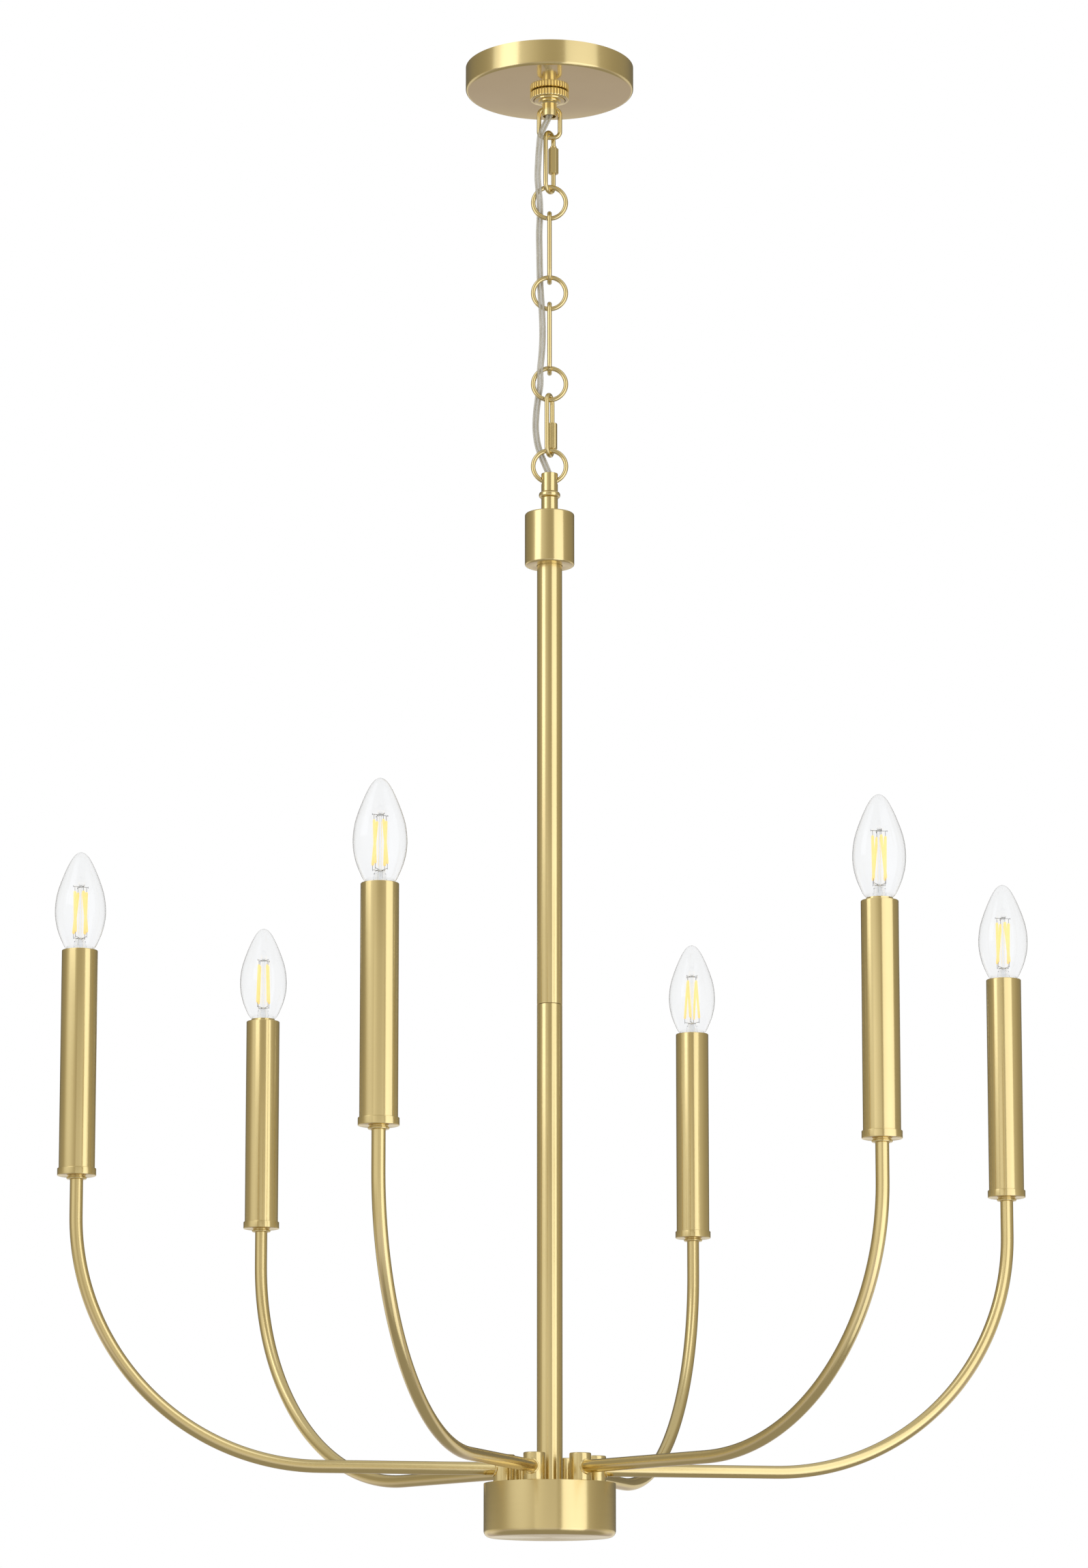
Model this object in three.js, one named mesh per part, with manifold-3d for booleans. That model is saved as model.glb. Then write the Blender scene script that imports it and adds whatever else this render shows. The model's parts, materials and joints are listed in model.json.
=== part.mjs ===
// Multi arm chandelier, in millimetres, +Z up.
// The origin is the middle of the ceiling plane: everything hangs below z = 0, and -Y is the front.
import * as THREE from 'three';
import { mergeVertices } from 'three/addons/utils/BufferGeometryUtils.js';
import Module from 'manifold-3d';

// ---- driving dimensions -------------------------------------------------------------------

const GAP = 0.3; // clearance left between pieces that touch

// arms and candles
const ARMS = 6;
const FIRST_ARM = 10.75; // degrees from +X, seen from above
const CANDLE_CIRCLE = 346.5; // from the centre line to a candle's centre line
const ARM_BEND = 178; // centre line radius of an arm's bend
const ARM_TUBE = 9.5;
const ARM_WALL = 1.2;
const SLEEVE_OUT = 26;
const SLEEVE_IN = 24;
const SLEEVE_LENGTH = 163;
const SLEEVE_EDGE = 0.6;
const SOCKET_NECK = 18.6;
const SOCKET_DEPTH = 0.2; // a socket's rim below the sleeve's top
const PROUD_SOCKETS = [3, 6]; // on these arms the socket and its bulb stand higher
const PROUD = 2;
const CUP_WIDTH = 28;
const BULB_WIDTH = 36.8;
const BULB_HEIGHT = 72.5; // glass above the socket's rim
const E14_CAP = 13.8;
const CAP_REACH = 28.8; // the screw cap's foot, below the socket's rim

// canopy and what it hides
const CANOPY_WIDTH = 127;
const CANOPY_DEPTH = 19;
const CANOPY_SHEET = 1.2;
const CANOPY_CORNER = 4;
const CANOPY_HOLE = 25.2;
const BAR_LENGTH = 104;
const BAR_WIDTH = 20;
const BAR_SHEET = 2.5;
const SCREW_SPACING = 88.9; // the two screws of a ceiling outlet box
const NIPPLE = 9.6;
const COLLAR_THREAD = 23.8;
const RING_NUT_WIDTH = 29.6;
const RING_NUT_HEIGHT = 6;
const LOOP_TUBE = 11.2;
const LOOP_BORE = 9.7;
const LOOP_END = -38;

// chain
const WIRE = 3.4;
const FIRST_WIRE = -32.2; // centre of the wire that hangs in the collar loop
const LINK_WIDTH = 19.2;
const LINK_LENGTH = 25.7;
const LINK_CORNER = 4.5;
const RING_WIDTH = 28;
const LONG_LINK_WIDTH = 17;
const LONG_LINK_LENGTH = 57;
const QUICK_LINK_WIDTH = 14.5;
const QUICK_LINK_LENGTH = 49.9;
const NUT_FLATS = 6.9;
const NUT_LENGTH = 20.2;
const TOP_QUICK_YAW = 32; // degrees that each quick link is turned from edge-on
const LOW_QUICK_YAW = 21;

// stem, coupling, rod and hub
const STEM_TOP = -317;
const STEM = 12.4;
const STEM_BORE = 9.8;
const STEM_BEAD = 16;
const STEM_BEAD_Z = -333.5;
const COUPLING_TOP = -348;
const COUPLING_BOTTOM = -388;
const COUPLING_WIDTH = 37;
const ROD = 18.7;
const ROD_BORE = 14.7;
const ROD_JOINT = -720;
const HUB_TOP = -1072;
const HUB_BOTTOM = -1111.3;
const HUB_WIDTH = 96;
const HUB_SHEET = 1.5;
const HUB_CORNER = 5;
const HUB_PLATE = 3;
const POST_WIDTH = 15.8;
const POST_HEIGHT = 20.4;
const POST_CIRCLE = 33.7;
const LOCKNUT_CORNERS = 22;
const LOCKNUT_HEIGHT = 5;
const FOOT_THREAD = 12; // the lower rod's threaded foot

const ARM_Z = HUB_TOP + POST_HEIGHT / 2;
const SLEEVE_TOP = -690.6;
const CUP_BASE = -855.2;
const CUP_HEIGHT = 5.4;
const CUP_FLOOR = 1.2;

// the supply cord: its route through the chain, and the round core that stands for it
const CORD_CORE = 2.4;
const CORD_ROUTE = [
  [0, -0.4, -14], [0, -1.6, -22], [-0.3, -2.9, -28.5], [-0.9, -3.2, -36], [-3.2, -3.7, -45],
  [-5.7, -4.8, -54], [-7.3, -6.8, -64], [-8.5, -6.9, -76], [-8.9, -5.5, -88], [-8.7, -3.8, -97],
  [-8.4, 0.0, -106.5], [-8.1, 3.7, -116], [-7.8, 4.6, -128], [-7.6, 4.8, -142], [-7.4, 4.5, -155],
  [-7.1, 3.8, -166.5], [-6.6, 0.2, -176.7], [-6.0, -3.7, -187.4], [-5.4, -4.7, -200],
  [-5.3, -4.9, -214], [-6.0, -4.6, -227], [-7.0, -3.8, -237.6], [-7.9, 0.0, -247.4],
  [-8.5, 3.7, -256.8], [-9.9, 4.7, -268], [-10.4, 4.9, -280], [-9.2, 4.5, -291.5],
  [-6.6, 3.9, -300.8], [-2.9, 3.6, -310], [-0.9, 3.3, -317], [0, 3.2, -324.5], [0, 2.0, -333],
  [0, 0.3, -342],
];
const CORD_STEPS = 50;

// ---- materials ----------------------------------------------------------------------------

function finish(color, roughness, metalness) {
  return new THREE.MeshStandardMaterial({ color, roughness, metalness });
}

const satinBrass = finish(0xc9b06c, 0.32, 1);
const steel = finish(0x9a9a98, 0.4, 1);
const socketPlastic = finish(0xe8e4da, 0.5, 0);
const clearGlass = new THREE.MeshStandardMaterial({
  color: 0xf4f4f0, roughness: 0.05, metalness: 0, transparent: true, opacity: 0.35,
});
const clearVinyl = new THREE.MeshStandardMaterial({
  color: 0xd9d6cb, roughness: 0.3, metalness: 0, transparent: true, opacity: 0.7,
});

const chandelier = new THREE.Group();

function add(name, geometry, material, parent = chandelier) {
  const mesh = new THREE.Mesh(geometry, material);
  mesh.name = name;
  parent.add(mesh);
  return mesh;
}

// ---- solids: cutting one shape by another -------------------------------------------------

const wasm = await Module();
wasm.setup();

function toSolid(geometry) {
  const bare = geometry.clone();
  bare.deleteAttribute('normal');
  bare.deleteAttribute('uv');
  const merged = mergeVertices(bare, 1e-4);
  const mesh = new wasm.Mesh({
    numProp: 3,
    vertProperties: new Float32Array(merged.attributes.position.array),
    triVerts: new Uint32Array(merged.index.array),
  });
  return new wasm.Manifold(mesh);
}

function toGeometry(solid) {
  const mesh = solid.getMesh();
  const geometry = new THREE.BufferGeometry();
  geometry.setAttribute('position', new THREE.BufferAttribute(mesh.vertProperties, 3));
  geometry.setIndex(new THREE.BufferAttribute(mesh.triVerts, 1));
  geometry.computeVertexNormals();
  return geometry;
}

function cut(geometry, ...tools) {
  const solid = tools.reduce((left, tool) => left.subtract(toSolid(tool)), toSolid(geometry));
  return toGeometry(solid);
}

// ---- basic shapes -------------------------------------------------------------------------

// a turned piece about Z; the outline is [radius, z] points and closes on itself or on the axis
function turned(outline, segments, closed = true) {
  const points = outline.map(([radius, z]) => new THREE.Vector2(radius, z));
  if (closed) points.push(points[0].clone());
  return new THREE.LatheGeometry(points, segments).rotateX(Math.PI / 2);
}

// a round bar or drill along X, from x0 to x1 at height z
function barAlongX(radius, x0, x1, z, sides = 16) {
  const bar = new THREE.CylinderGeometry(radius, radius, x1 - x0, sides).rotateZ(Math.PI / 2);
  return bar.translate((x0 + x1) / 2, 0, z);
}

// a flat ring or plate: an outline with holes, extruded up from z
function plate(outline, holes, z, thickness, curveSegments = 8) {
  const shape = new THREE.Shape(outline);
  shape.holes = holes;
  const options = { depth: thickness, bevelEnabled: false, curveSegments };
  return new THREE.ExtrudeGeometry(shape, options).translate(0, 0, z);
}

function circle(radius, x = 0, y = 0) {
  return new THREE.Path().absarc(x, y, radius, 0, 2 * Math.PI, true);
}

function hexagon(cornerRadius) {
  const outline = [];
  for (let i = 0; i < 6; i += 1) {
    const angle = (i * Math.PI) / 3;
    outline.push(new THREE.Vector2(cornerRadius * Math.cos(angle), cornerRadius * Math.sin(angle)));
  }
  return outline;
}

// round wire swept along points; a section's axes are Y and the path's normal, as no path runs along Y
function wire(points, radius, sides, closed) {
  const count = points.length;
  const positions = [];
  const depth = new THREE.Vector3(0, 1, 0);
  for (let i = 0; i < count; i += 1) {
    const before = points[closed ? (i + count - 1) % count : Math.max(i - 1, 0)];
    const after = points[closed ? (i + 1) % count : Math.min(i + 1, count - 1)];
    const along = after.clone().sub(before).normalize();
    const side = new THREE.Vector3().crossVectors(along, depth).normalize();
    const up = new THREE.Vector3().crossVectors(side, along);
    for (let j = 0; j < sides; j += 1) {
      const angle = (2 * Math.PI * (j + 0.5)) / sides;
      const vertex = points[i].clone();
      vertex.addScaledVector(side, radius * Math.cos(angle));
      vertex.addScaledVector(up, radius * Math.sin(angle));
      positions.push(vertex.x, vertex.y, vertex.z);
    }
  }
  const faces = [];
  const spans = closed ? count : count - 1;
  for (let i = 0; i < spans; i += 1) {
    const here = i * sides;
    const next = ((i + 1) % count) * sides;
    for (let j = 0; j < sides; j += 1) {
      const k = (j + 1) % sides;
      faces.push(here + j, next + j, here + k);
      faces.push(here + k, next + j, next + k);
    }
  }
  if (!closed) {
    const last = (count - 1) * sides;
    for (let j = 1; j < sides - 1; j += 1) {
      faces.push(0, j, j + 1);
      faces.push(last, last + j + 1, last + j);
    }
  }
  const geometry = new THREE.BufferGeometry();
  geometry.setAttribute('position', new THREE.Float32BufferAttribute(positions, 3));
  geometry.setIndex(faces);
  return geometry;
}

// the centre line of an oblong loop in the XZ plane, with round corners
function loopPath(width, length, corner, perCorner) {
  const x = width / 2 - corner;
  const z = length / 2 - corner;
  const centres = [[x, z], [-x, z], [-x, -z], [x, -z]];
  const points = [];
  centres.forEach(([cx, cz], quarter) => {
    for (let i = 0; i <= perCorner; i += 1) {
      const angle = (Math.PI / 2) * (quarter + i / perCorner);
      points.push(new THREE.Vector3(cx + corner * Math.cos(angle), 0, cz + corner * Math.sin(angle)));
    }
  });
  return points.filter((point, i) => i === 0 || point.distanceTo(points[i - 1]) > 1e-3);
}

const radians = THREE.MathUtils.degToRad;

// ---- ceiling pieces -----------------------------------------------------------------------

function canopy() {
  const out = CANOPY_WIDTH / 2;
  const hole = CANOPY_HOLE / 2;
  const low = -CANOPY_DEPTH;
  const inner = out - CANOPY_SHEET;
  const floor = low + CANOPY_SHEET;
  const bevel = CANOPY_CORNER * 0.3;
  return turned([
    [hole, low], [out - CANOPY_CORNER, low], [out - bevel, low + bevel], [out, low + CANOPY_CORNER],
    [out, 0], [inner, 0], [inner, floor + CANOPY_CORNER], [inner - bevel, floor + bevel],
    [inner - CANOPY_CORNER, floor], [hole, floor],
  ], 28);
}

function crossbar() {
  const x = BAR_LENGTH / 2;
  const y = BAR_WIDTH / 2;
  const corner = 3;
  const outline = [
    [-x + corner, -y], [x - corner, -y], [x, -y + corner], [x, y - corner],
    [x - corner, y], [-x + corner, y], [-x, y - corner], [-x, -y + corner],
  ].map(([px, py]) => new THREE.Vector2(px, py));
  const slot = (side) => {
    const middle = (side * SCREW_SPACING) / 2;
    const path = new THREE.Path();
    path.absarc(middle + 2, 0, 2.4, Math.PI / 2, -Math.PI / 2, true);
    path.absarc(middle - 2, 0, 2.4, -Math.PI / 2, -1.5 * Math.PI, true);
    return path;
  };
  const holes = [circle(NIPPLE / 2 + GAP), slot(1), slot(-1)];
  return plate(outline, holes, -BAR_SHEET, BAR_SHEET, 6);
}

function nipple() {
  const out = NIPPLE / 2;
  const bore = out - 1.5;
  return turned([[bore, -23], [out, -23], [out, -0.5], [bore, -0.5]], 14);
}

const RING_NUT_TOP = -CANOPY_DEPTH - GAP;
const RING_NUT_BASE = RING_NUT_TOP - RING_NUT_HEIGHT;

function collarRing() {
  const out = RING_NUT_WIDTH / 2;
  const bore = COLLAR_THREAD / 2 + GAP;
  return turned([
    [bore, RING_NUT_BASE], [out - 0.6, RING_NUT_BASE], [out, RING_NUT_BASE + 0.6],
    [out, RING_NUT_TOP], [bore, RING_NUT_TOP],
  ], 30);
}

// the threaded collar that the canopy's ring screws on, with the open tube that the chain hangs in
function collarLoop() {
  const thread = COLLAR_THREAD / 2;
  const tube = LOOP_TUBE / 2;
  const bore = LOOP_BORE / 2;
  const nippleBore = NIPPLE / 2 + GAP;
  const step = RING_NUT_BASE;
  const body = turned([
    [nippleBore, -9], [nippleBore, -23.5], [bore, -23.5], [bore, LOOP_END], [tube, LOOP_END],
    [tube, step - 3.4], [tube + 0.9, step - 2.4], [8.5, step - 2.2], [8.5, step - 1],
    [thread - 0.4, step - 0.8], [thread, step + 0.5], [thread, -9],
  ], 20);
  return cut(body, barAlongX(2.5, -10, 10, FIRST_WIRE - GAP, 12));
}

// ---- chain --------------------------------------------------------------------------------

function oblongLink(width, length, corner, perCorner) {
  const path = loopPath(width - WIRE, length - WIRE, corner, perCorner);
  return wire(path, WIRE / 2, 8, true);
}

function ring() {
  return new THREE.TorusGeometry((RING_WIDTH - WIRE) / 2, WIRE / 2, 8, 18).rotateX(Math.PI / 2);
}

// a quick link: an open loop whose gap a long hex nut closes, on the bar at +X
const GAP_FROM_NUT_END = 2;
const QUICK_GAP = 6.5;

function quickLinkBody(nutCentre, gapUp) {
  const centreWidth = QUICK_LINK_WIDTH - WIRE;
  const nutEnd = nutCentre + (gapUp * NUT_LENGTH) / 2;
  const gapOuter = nutEnd - gapUp * GAP_FROM_NUT_END;
  const gapInner = gapOuter - gapUp * QUICK_GAP;
  const high = Math.max(gapOuter, gapInner);
  const low = Math.min(gapOuter, gapInner);
  const loop = loopPath(centreWidth, QUICK_LINK_LENGTH - WIRE, centreWidth / 2, 6);
  const start = new THREE.Vector3(centreWidth / 2, 0, high);
  const end = new THREE.Vector3(centreWidth / 2, 0, low);
  return wire([start, ...loop, end], WIRE / 2, 8, false);
}

function quickLinkNut(nutCentre) {
  const outline = hexagon(NUT_FLATS / Math.sqrt(3));
  const bore = circle(WIRE / 2 + GAP);
  const nut = plate(outline, [bore], nutCentre - NUT_LENGTH / 2, NUT_LENGTH, 5);
  return nut.translate((QUICK_LINK_WIDTH - WIRE) / 2, 0, 0);
}

function firstLink() {
  return oblongLink(LINK_WIDTH, LINK_LENGTH, LINK_CORNER, 4);
}

function longLink() {
  const corner = (LONG_LINK_WIDTH - WIRE) / 2;
  return oblongLink(LONG_LINK_WIDTH, LONG_LINK_LENGTH, corner, 6);
}

// the hanging pieces from the top: a loop is made by make; a quick link has a nut at height nut in it
const chainPieces = [
  { name: 'link_1', length: LINK_LENGTH, turn: 0, make: firstLink },
  { name: 'quick_link_top', length: QUICK_LINK_LENGTH, turn: 90 - TOP_QUICK_YAW, nut: 2.35, gapUp: 1 },
  { name: 'ring_1', length: RING_WIDTH, turn: 0, make: ring },
  { name: 'long_link_1', length: LONG_LINK_LENGTH, turn: 90, make: longLink },
  { name: 'ring_2', length: RING_WIDTH, turn: 0, make: ring },
  { name: 'long_link_2', length: LONG_LINK_LENGTH, turn: 90, make: longLink },
  { name: 'ring_3', length: RING_WIDTH, turn: 0, make: ring },
  { name: 'quick_link_bottom', length: QUICK_LINK_LENGTH, turn: 90 - LOW_QUICK_YAW, nut: -7.2, gapUp: -1 },
  { name: 'ring_4', length: RING_WIDTH, turn: 0, make: ring },
];

function addChain() {
  let upperWire = FIRST_WIRE;
  for (const piece of chainPieces) {
    const span = piece.length - WIRE;
    const holder = new THREE.Group();
    holder.position.z = upperWire - span / 2;
    holder.rotation.z = radians(piece.turn);
    chandelier.add(holder);
    if (piece.nut !== undefined) {
      add(piece.name, quickLinkBody(piece.nut, piece.gapUp), satinBrass, holder);
      add(`${piece.name}_nut`, quickLinkNut(piece.nut), satinBrass, holder);
    } else {
      add(piece.name, piece.make(), satinBrass, holder);
    }
    upperWire += WIRE + GAP - span;
  }
  return upperWire - WIRE - GAP;
}

// ---- stem, coupling, rods and hub ---------------------------------------------------------

function stemLoop(lastWire) {
  const out = STEM / 2;
  const bore = STEM_BORE / 2;
  const bead = STEM_BEAD / 2;
  const foot = COUPLING_TOP - 12;
  const body = turned([
    [bore, foot], [out, foot], [out, STEM_BEAD_Z - 2.3], [bead, STEM_BEAD_Z - 1.2],
    [bead, STEM_BEAD_Z + 1.2], [out, STEM_BEAD_Z + 2.3], [out, STEM_TOP], [bore, STEM_TOP],
  ], 16);
  return cut(body, barAlongX(3, -12, 12, lastWire + 0.9, 14));
}

function coupling() {
  const out = COUPLING_WIDTH / 2;
  const edge = 1.5;
  const stemBore = STEM / 2 + GAP;
  const rodBore = ROD / 2 + GAP;
  const shelfTop = COUPLING_TOP - 12 - GAP;
  const shelfBase = COUPLING_BOTTOM + 15;
  return turned([
    [rodBore, COUPLING_BOTTOM], [out - edge, COUPLING_BOTTOM], [out, COUPLING_BOTTOM + edge],
    [out, COUPLING_TOP - edge], [out - edge, COUPLING_TOP], [stemBore, COUPLING_TOP],
    [stemBore, shelfTop], [4, shelfTop], [4, shelfBase], [rodBore, shelfBase],
  ], 24);
}

const ROD_TOP = COUPLING_BOTTOM + 15 - GAP;
const SPIGOT = 18;

function upperRod() {
  const foot = ROD_JOINT + GAP / 2;
  return turned([
    [ROD_BORE / 2, foot], [ROD / 2, foot], [ROD / 2, ROD_TOP], [ROD_BORE / 2, ROD_TOP],
  ], 18);
}

// the lower rod has a spigot up into the upper rod, and a threaded foot down through the hub plate
function lowerRod() {
  const out = ROD / 2;
  const spigot = ROD_BORE / 2 - GAP;
  const shoulder = ROD_JOINT - GAP / 2;
  const foot = HUB_TOP + GAP;
  const bore = 4.5;
  return turned([
    [bore, foot - 12], [FOOT_THREAD / 2, foot - 12], [FOOT_THREAD / 2, foot], [out, foot], [out, shoulder],
    [spigot, shoulder], [spigot, shoulder + SPIGOT], [bore, shoulder + SPIGOT],
  ], 18);
}

function hubLocknut() {
  const base = HUB_TOP - HUB_PLATE - GAP - LOCKNUT_HEIGHT;
  return plate(hexagon(LOCKNUT_CORNERS / 2), [circle(FOOT_THREAD / 2 + GAP)], base, LOCKNUT_HEIGHT, 8);
}

function hubCup() {
  const out = HUB_WIDTH / 2;
  const inner = out - HUB_SHEET;
  const floor = HUB_BOTTOM + HUB_SHEET;
  const bevel = HUB_CORNER * 0.3;
  return turned([
    [0, HUB_BOTTOM], [out - HUB_CORNER, HUB_BOTTOM], [out - bevel, HUB_BOTTOM + bevel],
    [out, HUB_BOTTOM + HUB_CORNER], [out, HUB_TOP], [inner, HUB_TOP], [inner, floor + HUB_CORNER],
    [inner - HUB_CORNER, floor], [0, floor],
  ], 30, false);
}

function hubPlate() {
  const outline = circle(HUB_WIDTH / 2 - HUB_SHEET - GAP).getPoints(15).reverse();
  outline.pop();
  const holes = [circle(FOOT_THREAD / 2 + GAP)];
  for (let i = 0; i < ARMS; i += 1) {
    const angle = armAngle(i);
    holes.push(circle(3 + GAP, POST_CIRCLE * Math.cos(angle), POST_CIRCLE * Math.sin(angle)));
  }
  return plate(outline, holes, HUB_TOP - HUB_PLATE, HUB_PLATE, 5);
}

// ---- arms and candles ---------------------------------------------------------------------

function armAngle(i) {
  return radians(FIRST_ARM + (360 / ARMS) * i);
}

// a post stands on the hub plate, its stud goes down through the plate, and the arm enters its side
function post() {
  const out = POST_WIDTH / 2;
  const foot = HUB_TOP + GAP;
  const top = HUB_TOP + POST_HEIGHT;
  const wireBore = 1.9;
  const body = turned([
    [0, ARM_Z], [wireBore, ARM_Z], [wireBore, foot - 8], [3, foot - 8], [3, foot], [out, foot],
    [out, top - 1.2], [out - 1.2, top], [0, top],
  ], 12, false);
  return cut(body, barAlongX(ARM_TUBE / 2 + 2 * GAP, 0, 12, ARM_Z, 10));
}

// an arm in its own XZ plane: level out of the post, then one bend up to the candle
function arm() {
  const reach = CANDLE_CIRCLE - POST_CIRCLE;
  const bendStart = reach - ARM_BEND;
  const centre = ARM_Z + ARM_BEND;
  const tip = CUP_BASE + 8;
  const steps = 10;
  const line = (extra) => {
    const points = [new THREE.Vector3(1.5 - extra, 0, ARM_Z)];
    for (let i = 0; i <= steps; i += 1) {
      const angle = (Math.PI / 2) * (i / steps);
      const x = bendStart + ARM_BEND * Math.sin(angle);
      points.push(new THREE.Vector3(x, 0, centre - ARM_BEND * Math.cos(angle)));
    }
    points.push(new THREE.Vector3(reach, 0, tip + extra));
    return points;
  };
  const tube = wire(line(0), ARM_TUBE / 2, 8, false);
  return cut(tube, wire(line(1), ARM_TUBE / 2 - ARM_WALL, 5, false));
}

// the cup that carries the sleeve, with the round bead under it that the arm comes through
function candleCup() {
  const hole = ARM_TUBE / 2 + GAP;
  const rim = CUP_WIDTH / 2;
  const seat = SLEEVE_OUT / 2 + GAP;
  const floor = CUP_BASE + CUP_FLOOR;
  return turned([
    [hole, CUP_BASE - 2.6], [6.6, CUP_BASE - 2.6], [7.25, CUP_BASE - 1.3], [6.6, CUP_BASE],
    [rim, CUP_BASE], [rim, CUP_BASE + CUP_HEIGHT], [seat, CUP_BASE + CUP_HEIGHT], [seat, floor],
    [hole, floor],
  ], 16);
}

// a sleeve is a tube whose rounded top turns in to the socket's neck
function sleeve() {
  const low = SLEEVE_TOP - SLEEVE_LENGTH;
  const out = SLEEVE_OUT / 2;
  const inner = SLEEVE_IN / 2;
  return turned([
    [inner, low], [out, low], [out, SLEEVE_TOP - SLEEVE_EDGE],
    [out - 0.3 * SLEEVE_EDGE, SLEEVE_TOP - 0.3 * SLEEVE_EDGE], [out - SLEEVE_EDGE, SLEEVE_TOP],
    [inner, SLEEVE_TOP],
  ], 16);
}

function socketRim(armNumber) {
  return SLEEVE_TOP - SOCKET_DEPTH + (PROUD_SOCKETS.includes(armNumber) ? PROUD : 0);
}

// the lamp socket screws on the arm's end and reaches up inside the sleeve to its rim
function socket(rim) {
  const base = CUP_BASE + CUP_FLOOR + GAP;
  const armBore = ARM_TUBE / 2 + GAP;
  const armEnd = CUP_BASE + 8 + GAP;
  const capBore = E14_CAP / 2 + 0.7;
  return turned([
    [armBore, base], [8, base], [8, armEnd + 2], [4, armEnd + 3], [4, rim - 54],
    [11.2, rim - 52], [11.2, rim - 3.1], [SOCKET_NECK / 2, rim - 3.1],
    [SOCKET_NECK / 2, rim], [capBore, rim], [capBore, rim - 32],
    [2.2, rim - 33], [2.2, armEnd], [armBore, armEnd],
  ], 9);
}

// a candle bulb: a thin glass envelope and its screw cap, hollow and open at the cap's middle
function bulb(rim) {
  const glass = ([across, up]) => [(BULB_WIDTH / 2) * across, rim + BULB_HEIGHT * up];
  const capRadius = E14_CAP / 2;
  const capInside = capRadius - 1;
  const capFoot = rim - CAP_REACH;
  const neck = rim + GAP;
  const outer = [
    [1.6, capFoot], [4.5, capFoot], [capRadius, capFoot + 4], [capRadius, neck],
    [0.25 * BULB_WIDTH, neck + 0.5],
    ...[
      [0.58, 0.03], [0.76, 0.12], [0.9, 0.22], [0.98, 0.31], [1, 0.41], [0.95, 0.54], [0.81, 0.67],
      [0.62, 0.8], [0.45, 0.89], [0.28, 0.955], [0, 1],
    ].map(glass),
  ];
  const inner = [
    ...[[0, 0.98], [0.4, 0.87], [0.76, 0.66], [0.94, 0.4], [0.84, 0.22]].map(glass),
    [0.21 * BULB_WIDTH, neck + 1.6], [capInside, neck + 0.6], [capInside, capFoot + 5], [1.6, capFoot + 1],
  ];
  return turned([...inner, ...outer], 10, false);
}

function addArms() {
  for (let i = 0; i < ARMS; i += 1) {
    const side = new THREE.Group();
    side.rotation.z = armAngle(i);
    chandelier.add(side);
    const root = new THREE.Group();
    root.position.x = POST_CIRCLE;
    side.add(root);
    const tip = new THREE.Group();
    tip.position.x = CANDLE_CIRCLE;
    side.add(tip);
    const number = i + 1;
    const rim = socketRim(number);
    add(`post_${number}`, post(), satinBrass, root);
    add(`arm_${number}`, arm(), satinBrass, root);
    add(`candle_cup_${number}`, candleCup(), satinBrass, tip);
    add(`sleeve_${number}`, sleeve(), satinBrass, tip);
    add(`socket_${number}`, socket(rim), socketPlastic, tip);
    add(`bulb_${number}`, bulb(rim), clearGlass, tip);
  }
}

// ---- cord ---------------------------------------------------------------------------------

function supplyCord() {
  const points = CORD_ROUTE.map(([x, y, z]) => new THREE.Vector3(x, y, z));
  const curve = new THREE.CatmullRomCurve3(points, false, 'centripetal');
  return wire(curve.getSpacedPoints(CORD_STEPS), CORD_CORE / 2, 8, false);
}

// ---- assembly -----------------------------------------------------------------------------

add('canopy', canopy(), satinBrass);
add('crossbar', crossbar(), steel);
add('threaded_nipple', nipple(), steel);
add('collar_ring', collarRing(), satinBrass);
add('collar_loop', collarLoop(), satinBrass);
const lastWire = addChain();
add('supply_cord', supplyCord(), clearVinyl);
add('stem_loop', stemLoop(lastWire), satinBrass);
add('coupling', coupling(), satinBrass);
add('upper_rod', upperRod(), satinBrass);
add('lower_rod', lowerRod(), satinBrass);
add('hub_locknut', hubLocknut(), steel);
add('hub_cup', hubCup(), satinBrass);
add('hub_plate', hubPlate(), satinBrass);
addArms();

export default chandelier;
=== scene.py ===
"""The looks of a multi arm chandelier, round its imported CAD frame. Shapes are made in millimetres."""
import json
import math

import bmesh
import bpy
import numpy as np
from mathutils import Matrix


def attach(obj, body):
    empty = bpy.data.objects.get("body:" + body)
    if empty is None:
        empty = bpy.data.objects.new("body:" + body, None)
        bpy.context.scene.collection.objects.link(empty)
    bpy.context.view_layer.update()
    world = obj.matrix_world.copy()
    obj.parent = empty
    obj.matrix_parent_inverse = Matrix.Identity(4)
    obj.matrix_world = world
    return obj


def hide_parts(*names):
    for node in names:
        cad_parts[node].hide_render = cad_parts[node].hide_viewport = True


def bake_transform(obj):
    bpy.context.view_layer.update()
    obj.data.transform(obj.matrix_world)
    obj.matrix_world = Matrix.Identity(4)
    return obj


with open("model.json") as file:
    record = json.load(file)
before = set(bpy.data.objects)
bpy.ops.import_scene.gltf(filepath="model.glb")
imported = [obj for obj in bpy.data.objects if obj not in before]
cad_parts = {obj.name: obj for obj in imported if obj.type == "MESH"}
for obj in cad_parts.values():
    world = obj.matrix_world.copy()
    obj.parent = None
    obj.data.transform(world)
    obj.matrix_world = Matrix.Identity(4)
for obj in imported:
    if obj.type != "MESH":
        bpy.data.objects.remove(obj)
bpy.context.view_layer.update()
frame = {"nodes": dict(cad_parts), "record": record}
scene = bpy.context.scene
scene.view_settings.view_transform = "Standard"

MM = 0.001
BODY_OF = {node: body for body, nodes in frame["record"]["behaviour"]["bodies"].items() for node in nodes}

# ---- driving dimensions, in millimetres

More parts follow.
